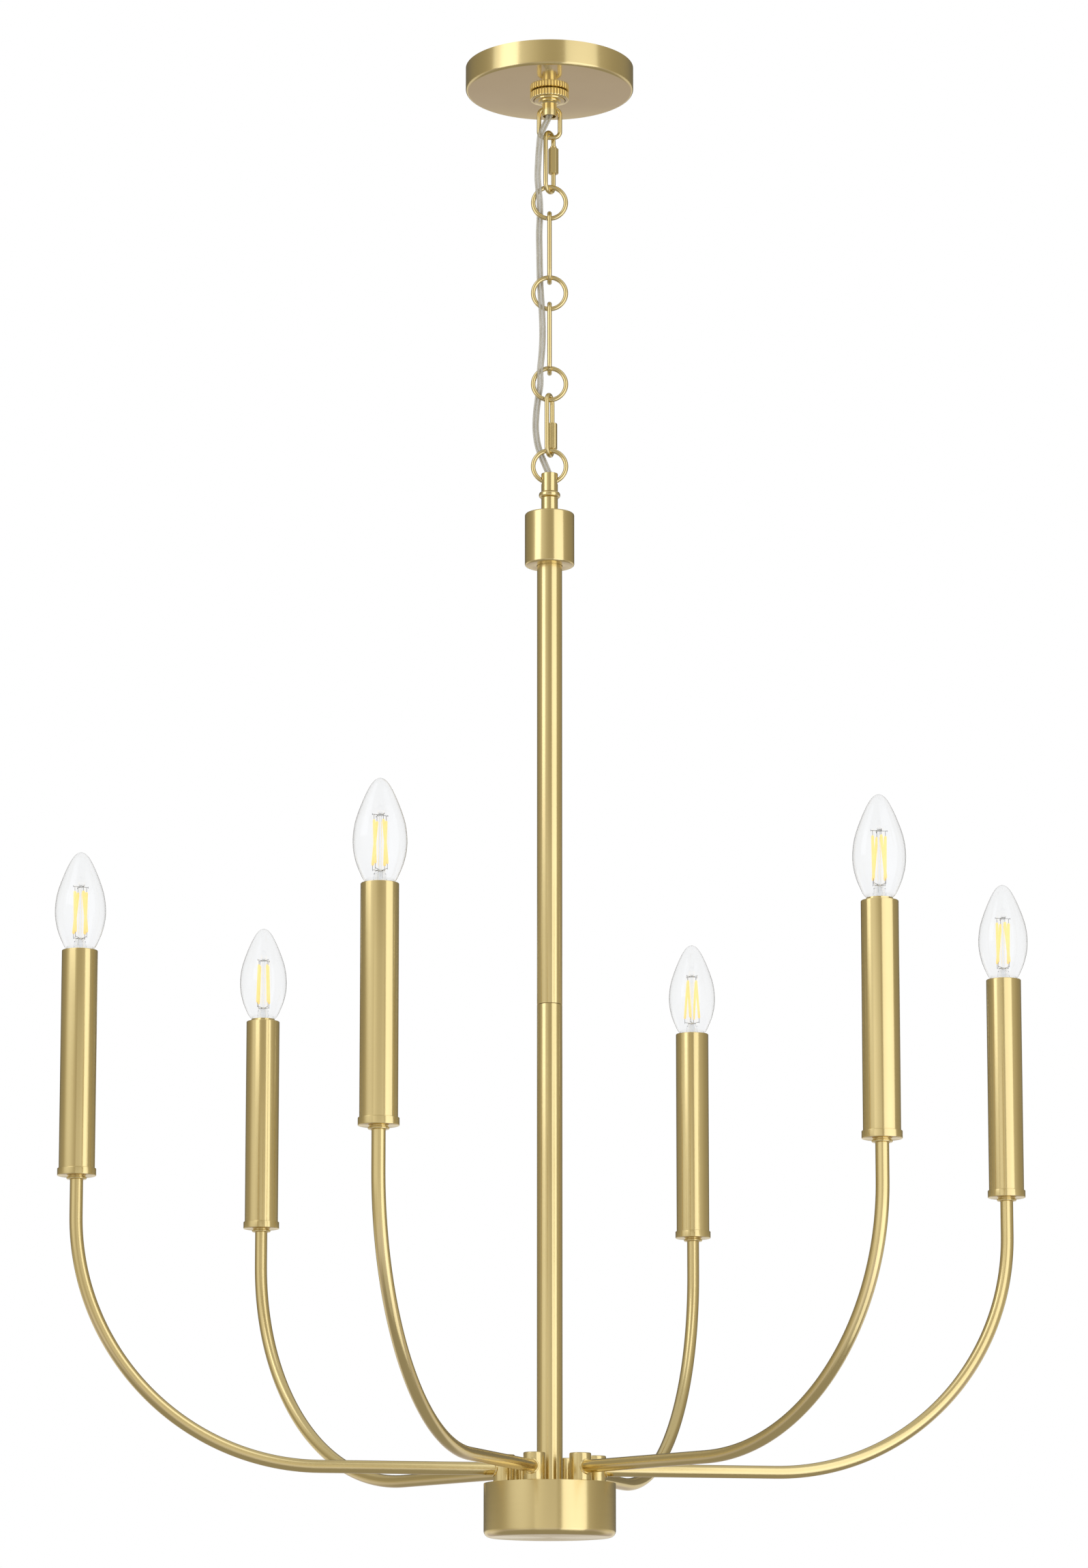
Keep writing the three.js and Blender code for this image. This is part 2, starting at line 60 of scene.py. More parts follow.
GAP = 0.3
ARMS = 6
FIRST_ARM = 10.75
CANDLE_CIRCLE = 346.5
ARM_BEND = 178.0
ARM_TUBE = 9.5
SLEEVE_OUT = 26.0
SLEEVE_IN = 24.0
SLEEVE_LENGTH = 163.0
SLEEVE_TOP = -690.6
SLEEVE_EDGE = 0.6
SOCKET_NECK = 18.6
SOCKET_DEPTH = 0.2
PROUD_SOCKETS = (3, 6)
PROUD = 2.0
CUP_WIDTH = 28.0
CUP_BASE = -855.2
CUP_HEIGHT = 5.4
CUP_FLOOR = 1.2
BULB_HEIGHT = 72.5
E14_CAP = 13.8
CAP_REACH = 28.8

CANOPY_WIDTH = 127.0
CANOPY_DEPTH = 19.0
CANOPY_SHEET = 1.2
CANOPY_CORNER = 2.4
CANOPY_HOLE = 25.2
NIPPLE = 9.6
COLLAR_THREAD = 23.8
RING_NUT_WIDTH = 29.6
RING_NUT_TOP = -CANOPY_DEPTH - GAP
RING_NUT_BASE = RING_NUT_TOP - 6.0
LOOP_TUBE = 11.2
LOOP_BORE = 9.7
LOOP_END = -38.0
LOOP_HOLE = 5.0
COLLAR_FOOT = 17.0

WIRE = 3.4
FIRST_WIRE = -32.2
LINK_WIDTH = 19.2
LINK_LENGTH = 25.7
LINK_CORNER = 4.5
RING_WIDTH = 28.0
LONG_LINK_WIDTH = 17.0
LONG_LINK_LENGTH = 57.0
QUICK_LINK_WIDTH = 14.5
QUICK_LINK_LENGTH = 49.9
NUT_FLATS = 6.9
NUT_LENGTH = 20.2
QUICK_GAP = 6.5
GAP_FROM_NUT_END = 2.0

STEM_TOP = -317.0
STEM = 12.4
STEM_BORE = 9.8
STEM_BEAD = 16.0
STEM_BEAD_Z = -333.5
STEM_HOLE_Z = -322.6
STEM_HOLE = 6.0
STEM_DEPTH = 12.0
COUPLING_TOP = -348.0
COUPLING_BOTTOM = -388.0
COUPLING_WIDTH = 37.0
COUPLING_BORE = 8.0
ROD = 18.7
ROD_BORE = 14.7
ROD_JOINT = -720.0
ROD_DEPTH = 15.0
SPIGOT_LENGTH = 18.0
ROD_STUD = 12.0
ROD_STUD_LENGTH = 12.0
ROD_STUD_BORE = 9.0
HUB_TOP = -1072.0
HUB_BOTTOM = -1111.3
HUB_WIDTH = 96.0
HUB_SHEET = 1.5
HUB_CORNER = 5.0
HUB_PLATE = 3.0
POST_WIDTH = 15.8
POST_HEIGHT = 20.4
POST_CIRCLE = 33.7
POST_STUD = 6.0
POST_STUD_LENGTH = 8.0
POST_WIRE_BORE = 3.8
ARM_Z = HUB_TOP + POST_HEIGHT / 2
ARM_END = CUP_BASE + 8

# ---- camera

CAMERA_PLACE = (-0.00017, -3.634, -1.3136)
CAMERA_TILT = 0.1559
CAMERA_TURN = 0.0011
LENS = 114.746
LENS_SHIFT = 0.16


def add_object(name, data):
    """A new object in the scene."""
    made = bpy.data.objects.new(name, data)
    scene.collection.objects.link(made)
    return made


camera = add_object("camera", bpy.data.cameras.new("camera"))
camera.location = CAMERA_PLACE
camera.rotation_euler = (math.pi / 2 + CAMERA_TILT, 0, CAMERA_TURN)
camera.data.sensor_width = 36.0
camera.data.lens = LENS
camera.data.shift_y = LENS_SHIFT
scene.camera = camera

# ---- materials


def add_node(tree, kind, **values):
    """A shader node, its settings and inputs given by name; an input takes a value or a node's output."""
    made = tree.nodes.new(kind)
    for name, value in values.items():
        if name not in made.inputs:
            setattr(made, name, value)
        elif isinstance(value, bpy.types.NodeSocket):
            tree.links.new(value, made.inputs[name])
        else:
            made.inputs[name].default_value = value
    return made


def empty_material(name, **sockets):
    """A new material with a Principled shader; sockets are set by their names, with _ for a space."""
    material = bpy.data.materials.new(name)
    material.use_nodes = True
    shader = material.node_tree.nodes["Principled BSDF"]
    for socket, value in sockets.items():
        shader.inputs[socket.replace("_", " ")].default_value = value
    return material, material.node_tree, shader


def noise_at(tree, stretch, detail=4.0, roughness=0.6):
    """Noise in the part's own frame, with a number of grains per metre along each axis."""
    place = add_node(tree, "ShaderNodeTexCoord").outputs["Object"]
    grid = add_node(tree, "ShaderNodeMapping", Vector=place, Scale=stretch).outputs["Vector"]
    noise = add_node(tree, "ShaderNodeTexNoise", Vector=grid, Scale=1.0, Detail=detail, Roughness=roughness)
    return noise.outputs["Fac"]


def spread(tree, value, start, end, low=0.0, high=1.0, **settings):
    """A value from start to end, spread from low to high."""
    ends = {"From Min": start, "From Max": end, "To Min": low, "To Max": high}
    return add_node(tree, "ShaderNodeMapRange", Value=value, **ends, **settings).outputs["Result"]


def set_roughness(tree, shader, noise, low, high):
    """Roughness from low to high over the middle of a noise value."""
    tree.links.new(spread(tree, noise, 0.3, 0.7, low, high), shader.inputs["Roughness"])


def add_tone(tree, shader, value, low, high, start=0.0, end=1.0, glows=False):
    """Colours a shader from low to high as a value goes from start to end."""
    node = add_node(tree, "ShaderNodeValToRGB", Fac=value)
    for element, position, colour in zip(node.color_ramp.elements, (start, end), (low, high)):
        element.position = position
        element.color = (*colour, 1)
    tree.links.new(node.outputs["Color"], shader.inputs["Base Color"])
    if glows:
        tree.links.new(node.outputs["Color"], shader.inputs["Emission Color"])
    return node.color_ramp


def add_bump(tree, shader, height, strength, distance):
    """A fine relief on the surface; its distance is in metres."""
    bump = add_node(tree, "ShaderNodeBump", Height=height, Strength=strength, Distance=distance)
    tree.links.new(bump.outputs["Normal"], shader.inputs["Normal"])


def metal(name, light, dark, roughness, grain, bump, brushed=0.0):
    """Metal with two close tones in soft patches, and a fine grain that marks its gloss and surface.

    Brushed metal has hairlines round the Z axis, which stretch its highlights along Z.
    """
    material, tree, shader = empty_material(name, Metallic=1.0, Anisotropic=brushed)
    if brushed:
        shader.inputs["Anisotropic Rotation"].default_value = 0.25
        tangent = add_node(tree, "ShaderNodeTangent", direction_type="RADIAL", axis="Z")
        tree.links.new(tangent.outputs["Tangent"], shader.inputs["Tangent"])
    patches = noise_at(tree, (14.0, 14.0, 9.0), detail=3.0)
    add_tone(tree, shader, patches, dark, light, 0.35, 0.65)
    fine = noise_at(tree, grain, detail=5.0)
    set_roughness(tree, shader, fine, *roughness)
    add_bump(tree, shader, fine, bump, 0.00001)
    return material


BRASS_LIGHT = (0.80, 0.66, 0.33)
BRASS_DARK = (0.77, 0.63, 0.31)
BRASS = (BRASS_LIGHT, BRASS_DARK)
satin_brass = metal("satin_brass_turned", *BRASS, (0.19, 0.25), (40, 40, 2600), 0.10, brushed=0.75)
tube_brass = metal("satin_brass_tube", *BRASS, (0.19, 0.24), (350,) * 3, 0.02)
gloss_brass = metal("polished_brass", *BRASS, (0.10, 0.15), (450,) * 3, 0.02)
mirror_brass = metal("mirror_brass", *BRASS, (0.10, 0.13), (120,) * 3, 0.01)
zinc = metal("zinc_plated_steel", (0.62, 0.62, 0.60), (0.50, 0.50, 0.49), (0.30, 0.48), (500,) * 3, 0.15)
wire_metal = metal("nickel_wire", (0.34,) * 3, (0.24,) * 3, (0.25, 0.40), (800,) * 3, 0.05)
TIN = ((0.86, 0.84, 0.78), (0.76, 0.74, 0.68))
conductor = metal("tinned_strand", *TIN, (0.34, 0.46), (500, 500, 120), 0.05)


def moulding():
    """The sockets' white moulded body."""
    material, tree, shader = empty_material("socket_moulding", IOR=1.5)
    speck = noise_at(tree, (900, 900, 900), detail=6.0)
    add_tone(tree, shader, speck, (0.68, 0.66, 0.59), (0.74, 0.72, 0.66))
    set_roughness(tree, shader, speck, 0.32, 0.45)
    add_bump(tree, shader, speck, 0.1, 0.00003)
    return material


def glass(name, face, rim, waviness):
    """Clear glass whose colour turns grey where it is seen edge on: painted shade that draws a dark outline
    in place of its edges' reflections.
    """
    material, tree, shader = empty_material(name, Transmission_Weight=1.0, IOR=1.47)
    edge = add_node(tree, "ShaderNodeLayerWeight", Blend=0.5)
    middle = (face, face * 1.005, face * 1.01)
    # painted shade: from face to rim the glass greys as it turns edge on, drawing a dark outline
    ramp = add_tone(tree, shader, edge.outputs["Facing"], middle, (rim,) * 3, 0.72, 0.98)
    ramp.interpolation = "EASE"
    waves = noise_at(tree, (55, 55, 30), detail=1.0)
    set_roughness(tree, shader, waves, 0.0, 0.012)
    add_bump(tree, shader, waves, waviness, 0.0002)
    return material


def phosphor():
    """The yellow coating of a filament, with a fine grain in two close tones, and a painted glow of its own
    colour that makes it look lit inside the glass.
    """
    # painted light: the coating glows at 0.62 of its tone, in place of the studio light that the glass
    # keeps from it
    material, tree, shader = empty_material("filament_phosphor_painted_glow", Roughness=0.7, Emission_Strength=0.62)
    grain = noise_at(tree, (1500, 1500, 500), detail=3.0)
    add_tone(tree, shader, grain, (0.96, 0.68, 0.21), (1.0, 0.78, 0.31), glows=True)
    add_bump(tree, shader, grain, 0.3, 0.0001)
    return material


def vinyl():
    """The cord's clear cover: mostly see-through, with a soft surface and an olive cast."""
    material, tree, shader = empty_material("clear_vinyl", Alpha=0.50, IOR=1.5)
    cloud = noise_at(tree, (300, 300, 40), detail=3.0)
    add_tone(tree, shader, cloud, (0.47, 0.44, 0.33), (0.66, 0.63, 0.53))
    set_roughness(tree, shader, cloud, 0.12, 0.24)
    add_bump(tree, shader, cloud, 0.15, 0.0002)
    return material


white_moulding = moulding()
# the numbers are the glass's tint, the grey of its painted dark outline where seen edge on, and its
# waviness
bulb_glass = glass("bulb_glass", 0.968, 0.45, 0.02)
stem_glass = glass("stem_glass", 0.95, 0.40, 0.05)
filament_coat = phosphor()
clear_vinyl = vinyl()

# ---- meshes


def full_turn(count):
    """Even angles once round."""
    return np.arange(count) * 2 * math.pi / count


def run_lengths(path):
    """How far along the path each of its points is."""
    return np.concatenate([[0], np.cumsum(np.linalg.norm(np.diff(path, axis=0), axis=1))])


def points_along(path, lengths, at):
    """The points of a path at the given distances along it."""
    return np.stack([np.interp(at, lengths, path[:, k]) for k in range(3)], axis=1)


def directions(path):
    """Unit vectors along an open path."""
    along = np.gradient(path, axis=0)
    return along / np.linalg.norm(along, axis=1)[:, None]


def filleted(corners, steps=6, closed=True):
    """Points through [r, z] corners; a third number is that corner's fillet radius."""
    points = []
    count = len(corners)
    for i, corner in enumerate(corners):
        here = np.array(corner[:2], float)
        radius = corner[2] if len(corner) > 2 else 0
        if radius == 0 or (not closed and i in (0, count - 1)):
            points.append(here)
            continue
        before = np.array(corners[i - 1][:2], float) - here
        after = np.array(corners[(i + 1) % count][:2], float) - here
        before /= np.linalg.norm(before)
        after /= np.linalg.norm(after)
        half = math.acos(float(np.clip(before @ after, -1, 1))) / 2
        towards = (before + after) / np.linalg.norm(before + after)
        centre = here + towards * radius / math.sin(half)
        reach = radius / math.tan(half)
        start = here + before * reach - centre
        end = here + after * reach - centre
        first = math.atan2(start[1], start[0])
        turn = (math.atan2(end[1], end[0]) - first + math.pi) % (2 * math.pi) - math.pi
        for k in range(steps + 1):
            angle = first + turn * k / steps
            points.append(centre + radius * np.array([math.cos(angle), math.sin(angle)]))
    return np.array(points)


def grid_faces(rows, columns, wrap_rows):
    """Quads over a grid of points whose columns close on themselves."""
    faces = []
    for i in range(rows if wrap_rows else rows - 1):
        below = i * columns
        above = (i + 1) % rows * columns
        for j in range(columns):
            k = (j + 1) % columns
            faces.append((below + j, below + k, above + k, above + j))
    return faces


def turned(outline, segments=96, closed=True, fluting=None):
    """A turned shell about Z; fluting(angles, radii, heights) gives the radii of a fluted surface."""
    outline = np.array(outline, float)
    angles = full_turn(segments)
    radii = np.repeat(outline[:, 0:1], segments, axis=1)
    heights = np.repeat(outline[:, 1:2], segments, axis=1)
    if fluting is not None:
        radii = fluting(angles[None, :], radii, heights)
    points = np.stack([radii * np.cos(angles), radii * np.sin(angles), heights], axis=2)
    return points.reshape(-1, 3), grid_faces(len(outline), segments, closed)


def round_section(radius, sides=20, squash=1.0):
    """A round outline, or an oval one when it is squashed."""
    angles = full_turn(sides)
    return np.stack([radius * np.cos(angles), squash * radius * np.sin(angles)], axis=1)


def swept(path, section, reference=(0, 1, 0), closed=False, twist=0.0, scale=None):
    """A section swept along a path that never runs along the reference direction; open ends are capped."""
    path = np.array(path, float)
    reference = np.array(reference, float)
    if closed:
        along = np.roll(path, -1, axis=0) - np.roll(path, 1, axis=0)
        along /= np.linalg.norm(along, axis=1)[:, None]
    else:
        along = directions(path)
    side = np.cross(reference, along)
    side /= np.linalg.norm(side, axis=1)[:, None]
    up = np.cross(along, side)
    turns = twist * np.arange(len(path))[:, None]
    x = section[:, 0] * np.cos(turns) - section[:, 1] * np.sin(turns)
    y = section[:, 0] * np.sin(turns) + section[:, 1] * np.cos(turns)
    if scale is not None:
        x = x * np.array(scale)[:, None]
        y = y * np.array(scale)[:, None]
    points = path[:, None, :] + x[:, :, None] * side[:, None, :] + y[:, :, None] * up[:, None, :]
    sides = len(section)
    faces = grid_faces(len(path), sides, closed)
    if not closed:
        last = (len(path) - 1) * sides
        faces.append(tuple(reversed(range(sides))))
        faces.append(tuple(range(last, last + sides)))
    return points.reshape(-1, 3), faces


def placed(shell, turn=0.0, x=0.0, y=0.0, z=0.0):
    """A shell moved by x, y and z, then turned about the Z axis by an angle in radians."""
    points, faces = shell
    moved = points + np.array([x, y, z])
    cosine, sine = math.cos(turn), math.sin(turn)
    turning = np.array([[cosine, sine, 0], [-sine, cosine, 0], [0, 0, 1]])
    return moved @ turning, faces


def smooth(mesh, sharp=35.0):
    """Smooth shading, with edges sharper than an angle in degrees kept crisp."""
    mesh.shade_smooth()
    mesh.set_sharp_from_angle(angle=math.radians(sharp))


def build(name, shells, materials, sharp=35.0):
    """One object from shells, each a pair of points and faces, with one material each or one for all."""
    points, faces, indices = [], [], []
    slots = list(dict.fromkeys(materials))
    total = 0
    for k, (shell_points, shell_faces) in enumerate(shells):
        points.append(shell_points)
        faces.extend(tuple(total + v for v in face) for face in shell_faces)
        index = slots.index(materials[min(k, len(materials) - 1)])
        indices.extend([index] * len(shell_faces))
        total += len(shell_points)
    mesh = bpy.data.meshes.new(name)
    mesh.from_pydata((np.concatenate(points) * MM).tolist(), [], faces)
    for material in slots:
        mesh.materials.append(material)
    mesh.polygons.foreach_set("material_index", indices)
    tidy = bmesh.new()
    tidy.from_mesh(mesh)
    bmesh.ops.remove_doubles(tidy, verts=tidy.verts, dist=1e-7)
    tidy.to_mesh(mesh)
    tidy.free()
    smooth(mesh, sharp)
    return add_object(name, mesh)


def cut(target, tool):
    """Takes the tool's solid out of the target and removes the tool."""
    change = target.modifiers.new("cut", "BOOLEAN")
    change.operation = "DIFFERENCE"
    change.solver = "EXACT"
    change.object = tool
    graph = bpy.context.evaluated_depsgraph_get()
    mesh = bpy.data.meshes.new_from_object(target.evaluated_get(graph))
    target.modifiers.clear()
    target.data = mesh
    bpy.data.objects.remove(tool)
    smooth(mesh)
    return target


def show(piece, *nodes, slot="satin_brass", body=None):
    """The piece stands for these CAD nodes and rides on their body, or only rides on a body."""
    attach(piece, body or BODY_OF[nodes[0]])
    if nodes:
        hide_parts(*nodes)
    return piece


def cross_drill(radius, z):
    """A round cutter along X through the middle, at height z."""
    path = [(-20.0, 0, z), (0, 0, z), (20.0, 0, z)]
    return build("drill", [swept(path, round_section(radius, 32))], [gloss_brass])


# ---- cord: it keeps within about 2 mm of the CAD's route, and it is cut into stretches at the heights in CORD_SPLITS

CORD_WIDTH = 5.0
CORE_RADIUS = 0.5
STRAND_TWIST = 0.06
CORD_ROUTE = [
    (0, -0.4, -14), (0, -1.7, -22), (-0.1, -3.0, -28.5), (-0.1, -3.0, -34), (-0.4, -3.05, -38.6),
    (-3.2, -4.6, -45.5),
    (-6.5, -6.7, -54), (-7.7, -7.5, -64), (-8.5, -6.9, -76), (-8.9, -5.5, -88), (-8.2, -3.8, -97),
    (-7.3, 0.3, -106.5), (-7.3, 4.1, -116), (-7.8, 4.6, -128), (-7.6, 4.8, -142), (-7.4, 4.5, -155),
    (-7.1, 3.8, -166.5), (-6.6, 0.2, -176.7), (-6.0, -3.7, -187.4), (-5.4, -4.7, -200),
    (-5.3, -4.9, -214), (-6.0, -4.6, -227), (-7.0, -3.8, -237.6), (-7.0, 0.1, -247.4),
    (-8.5, 3.7, -256.8), (-9.9, 4.7, -268), (-10.4, 4.9, -280), (-9.2, 4.5, -291.5),
    (-6.6, 3.9, -300.8), (-2.9, 3.6, -310), (-0.4, 2.95, -317), (0, 3.0, -324.5), (0, 2.0, -333),
    (0, 0.3, -342),
]
CORD_SPLITS = (-14.0, -45.0, -75.8, -108.0, -144.0, -178.9, -214.0, -250.0, -281.0, -311.5, -342.0)


def between(p, q, start, end, t):
    """Where a line that passes p at start and q at end is at t."""
    return p * (end - t) / (end - start) + q * (t - start) / (end - start)


def centripetal(knots, per_span):
    """A centripetal Catmull-Rom curve through the knots."""
    knots = np.array(knots, float)
    ends = [2 * knots[0] - knots[1], *knots, 2 * knots[-1] - knots[-2]]
    points = []
    for p0, p1, p2, p3 in zip(ends, ends[1:], ends[2:], ends[3:]):
        t0 = 0.0
        t1 = t0 + math.sqrt(np.linalg.norm(p1 - p0))
        t2 = t1 + math.sqrt(np.linalg.norm(p2 - p1))
        t3 = t2 + math.sqrt(np.linalg.norm(p3 - p2))
        for t in np.linspace(t1, t2, per_span, endpoint=False):
            a1 = between(p0, p1, t0, t1, t)
            a2 = between(p1, p2, t1, t2, t)
            a3 = between(p2, p3, t2, t3, t)
            b1 = between(a1, a2, t0, t2, t)
            b2 = between(a2, a3, t1, t3, t)
            points.append(between(b1, b2, t1, t2, t))
    points.append(knots[-1])
    return np.array(points)


def twin_section(lobe, waist_degrees=24, steps=14):
    """The outline of two round cores side by side, joined by a narrow web."""
    reach = math.radians(180 - waist_degrees)
    angles = np.linspace(-reach, reach, steps)
    right = np.stack([lobe + lobe * np.cos(angles), lobe * np.sin(angles)], axis=1)
    return np.concatenate([right, -right])


def strand_section(radius, strands=7, steps=28):
    """The lobed outline of a bundle of fine wires."""
    angles = full_turn(steps)
    radii = radius * (1 + 0.10 * np.cos(strands * angles))
    return np.stack([radii * np.cos(angles), radii * np.sin(angles)], axis=1)


def cord_frame(path):
    """Each point's direction across the flat cord, in which its two cores lie."""
    along = directions(path)
    across = np.array([1.0, 0, 0]) - along * along[:, 0:1]
    return across / np.linalg.norm(across, axis=1)[:, None]


def add_cord():
    """The cord in stretches: each has a clear cover over two stranded cores."""
    line = centripetal(CORD_ROUTE, 12)
    across = cord_frame(line)
    lobe = CORD_WIDTH / 4
    outline = twin_section(lobe)
    strand = strand_section(CORE_RADIUS)
    runs = [(swept(line, outline)[0], len(outline))]
    for offset in (lobe, -lobe):
        runs.append((swept(line + across * offset, strand, twist=STRAND_TWIST)[0], len(strand)))
    starts = [int(np.argmin(np.abs(line[:, 2] - z))) for z in CORD_SPLITS]
    for k, (first, last) in enumerate(zip(starts, starts[1:])):
        shells = []
        for points, sides in runs:
            piece = points[first * sides:(last + 1) * sides]
            shells.append((piece, grid_faces(last - first + 1, sides, False)))
        stretch = build(f"cord_{k + 1}", shells, [clear_vinyl, conductor, conductor], sharp=60)
        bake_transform(stretch)
        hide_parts("supply_cord")


add_cord()

# ---- ceiling pieces


def add_canopy():
    """The canopy: its flat underside is mirror bright, and its wall and inside are satin."""
    out = CANOPY_WIDTH / 2
    inner = out - CANOPY_SHEET
    hole = CANOPY_HOLE / 2
    low = -CANOPY_DEPTH
    floor = low + CANOPY_SHEET
    outside = filleted([(hole + 0.4, low), (out, low, CANOPY_CORNER), (out, 0.0)], steps=10, closed=False)
    inside = filleted([
        (out, 0.0), (inner, 0.0), (inner, floor, CANOPY_CORNER - CANOPY_SHEET), (hole, floor),
        (hole, low + 0.3), (hole + 0.4, low),
    ], steps=8, closed=False)
    # the mirror finish stops about a third of the way round the corner
    edge = 4
    outlines = (outside[:edge + 1], outside[edge:], inside)
    shells = [turned(outline, 144, False) for outline in outlines]
    show(build("canopy_shell", shells, [mirror_brass, satin_brass, satin_brass]), "canopy")


def add_collar_ring():
    """The screw ring, fluted for the fingers between its two smooth lips."""
    out = RING_NUT_WIDTH / 2
    bore = COLLAR_THREAD / 2 + GAP
    base = RING_NUT_BASE
    top = RING_NUT_TOP
    flutes = 32
    depth = 0.5

    def knurl(angles, radii, heights):
        middle = (heights > base + 0.8) & (heights < top - 0.45) & (radii > out - 0.1)
        wave = np.abs(np.sin(angles * flutes / 2)) ** 0.55
        return np.where(middle, radii - depth * (1 - wave), radii)

    outline = [
        (bore, base), (out - 1.0, base), (out - 0.35, base + 0.3), (out - 0.02, base + 0.85),
        (out, base + 1.2), (out, base + 3.0), (out, top - 1.2), (out - 0.02, top - 0.6),
        (out - 0.5, top - 0.15), (out - 1.0, top), (bore, top),
    ]
    shell = turned(outline, flutes * 10, True, knurl)
    show(build("collar_ring_knurled", [shell], [gloss_brass], sharp=50), "collar_ring")


def add_collar_loop():
    """The collar's thread, its stepped foot, and the cross-drilled tube below it."""
    foot = COLLAR_FOOT / 2
    thread = COLLAR_THREAD / 2
    tube = LOOP_TUBE / 2
    bore = LOOP_BORE / 2
    nipple_bore = NIPPLE / 2 + GAP
    step = RING_NUT_BASE
    outline = filleted([
        (nipple_bore, -9), (nipple_bore, -23.5), (bore, -23.5), (bore, LOOP_END, 0.25),
        (tube, LOOP_END, 0.3), (tube, step - 3.2), (tube + 0.9, step - 2.4, 0.4), (foot, step - 2.2, 0.5),
        (foot, step - 1.0), (thread - 0.4, step - 0.8, 0.2), (thread, step + 0.5), (thread, -9),
    ], steps=4)
    loop = build("collar_tube", [turned(outline, 72)], [gloss_brass])
    show(cut(loop, cross_drill(LOOP_HOLE / 2, FIRST_WIRE - GAP)), "collar_loop")


def threaded(radius, depth, pitch):
    """Fluting that turns an outline's outer points into a screw thread."""
    def cutting(angles, radii, heights):
        turn = heights / pitch - angles / (2 * math.pi)
        wave = 0.5 - 0.5 * np.cos(2 * math.pi * turn)
        return np.where(radii > radius - 0.01, radii - depth * wave, radii)
    return cutting


def add_nipple():
    """The threaded tube that joins the crossbar to the collar."""
    out = NIPPLE / 2
    bore = out - 1.5
    wall = [(out, z) for z in np.linspace(-22.4, -1.1, 86)]
    outline = [(bore, -23), (out - 0.7, -23), *wall, (out - 0.7, -0.5), (bore, -0.5)]
    nipple = build("nipple_thread", [turned(outline, 40, True, threaded(out, 0.45, 1.0))], [zinc], sharp=60)
    show(nipple, "threaded_nipple", slot="zinc_steel")


add_canopy()
add_collar_ring()
add_collar_loop()
add_nipple()

# ---- chain


def loop_path(width, length, corner, per_corner=14, per_side=6):
    """An oblong loop in the XZ plane, counter-clockwise from the middle of its +X side."""
    x = width / 2 - corner
    z = length / 2 - corner
    points = []
    corners = [(x, z), (-x, z), (-x, -z), (x, -z)]
    for quarter, (cx, cz) in enumerate(corners):
        angles = math.pi / 2 * (quarter + np.linspace(0, 1, per_corner + 1))
        arc = np.stack([cx + corner * np.cos(angles), 0 * angles, cz + corner * np.sin(angles)], axis=1)
        if points:
            points.extend(np.linspace(points[-1], arc[0], per_side + 1)[1:-1])
        points.extend(arc)
    points.extend(np.linspace(points[-1], points[0], per_side + 1)[1:-1])
    kept = [points[0]]
    for point in points[1:]:
        if np.linalg.norm(point - kept[-1]) > 1e-3:
            kept.append(point)
    return np.array(kept)


def resampled(path, step):
    """The path again with even steps, its ends kept."""
    lengths = run_lengths(path)
    at = np.linspace(0, lengths[-1], int(lengths[-1] / step) + 1)
    return points_along(path, lengths, at)


def split_loop(path, start, seam=0.22):
    """A closed path cut open at the given share of its length, with a hairline seam between its ends."""
    closed = np.concatenate([path, path[:1]])
    lengths = run_lengths(closed)
    total = lengths[-1]
    at = (start * total + np.linspace(seam / 2, total - seam / 2, len(path) + 40)) % total
    return points_along(closed, lengths, at)


def rounded_bar(path, radius):
    """Round wire with softly rounded ends."""
    inset = 0.075
    tip = 1 - 0.15 / radius
    lengths = run_lengths(path)
    start = path[0] + (path[1] - path[0]) / lengths[1] * inset
    end = path[-1] + (path[-2] - path[-1]) / (lengths[-1] - lengths[-2]) * inset
    scale = np.array([tip, 1.0, *np.ones(len(path) - 2), 1.0, tip])
    path = np.concatenate([path[:1], [start], path[1:-1], [end], path[-1:]])
    return swept(path, round_section(radius), scale=scale)


def add_loop(name, path, z, turn=0.0, seam_at=None):
    """A chain piece of round wire; seam_at is the share of the loop where its ends meet."""
    if seam_at is None:
        shell = swept(path, round_section(WIRE / 2), closed=True)
    else:
        shell = rounded_bar(split_loop(path, seam_at), WIRE / 2)
    piece = build(f"{name}_wire", [placed(shell, turn, z=z)], [gloss_brass])
    show(piece, name)


def ring_path():
    """The middle of a ring's wire, in the XZ plane."""
    radius = (RING_WIDTH - WIRE) / 2
    angles = full_turn(72)
    return np.stack([radius * np.cos(angles), 0 * angles, radius * np.sin(angles)], axis=1)


def hex_nut(flats, length, bore, centre):
    """A long hex nut along Z: each end is turned down to a rounded chamfer."""
    chamfer = 1.3
    low = np.linspace(0, chamfer, 7)
    middle = np.linspace(chamfer, length - chamfer, 5)[1:-1]
    high = np.linspace(length - chamfer, length, 7)
    heights = np.concatenate([low, middle, high]) - length / 2
    corner = flats / math.sqrt(3) - 0.12

    def hexed(angles, radii, levels):
        """Radii of the six flats, with blunt corners and domed ends."""
        sector = (angles + math.pi / 6) % (math.pi / 3) - math.pi / 6
        hexagon = np.minimum(flats / 2 / np.cos(sector), corner)
        from_end = length / 2 - np.abs(levels)
        dome = flats / 2 - 0.55 + np.sqrt(np.clip(1.7 * from_end, 0, 4))
        return np.where(radii > bore + 0.2, np.minimum(hexagon, dome), radii)

    outline = [(bore, -length / 2), *[(flats, z) for z in heights], (bore, length / 2)]
    return placed(turned(outline, 72, True, hexed), math.pi / 6, z=centre)


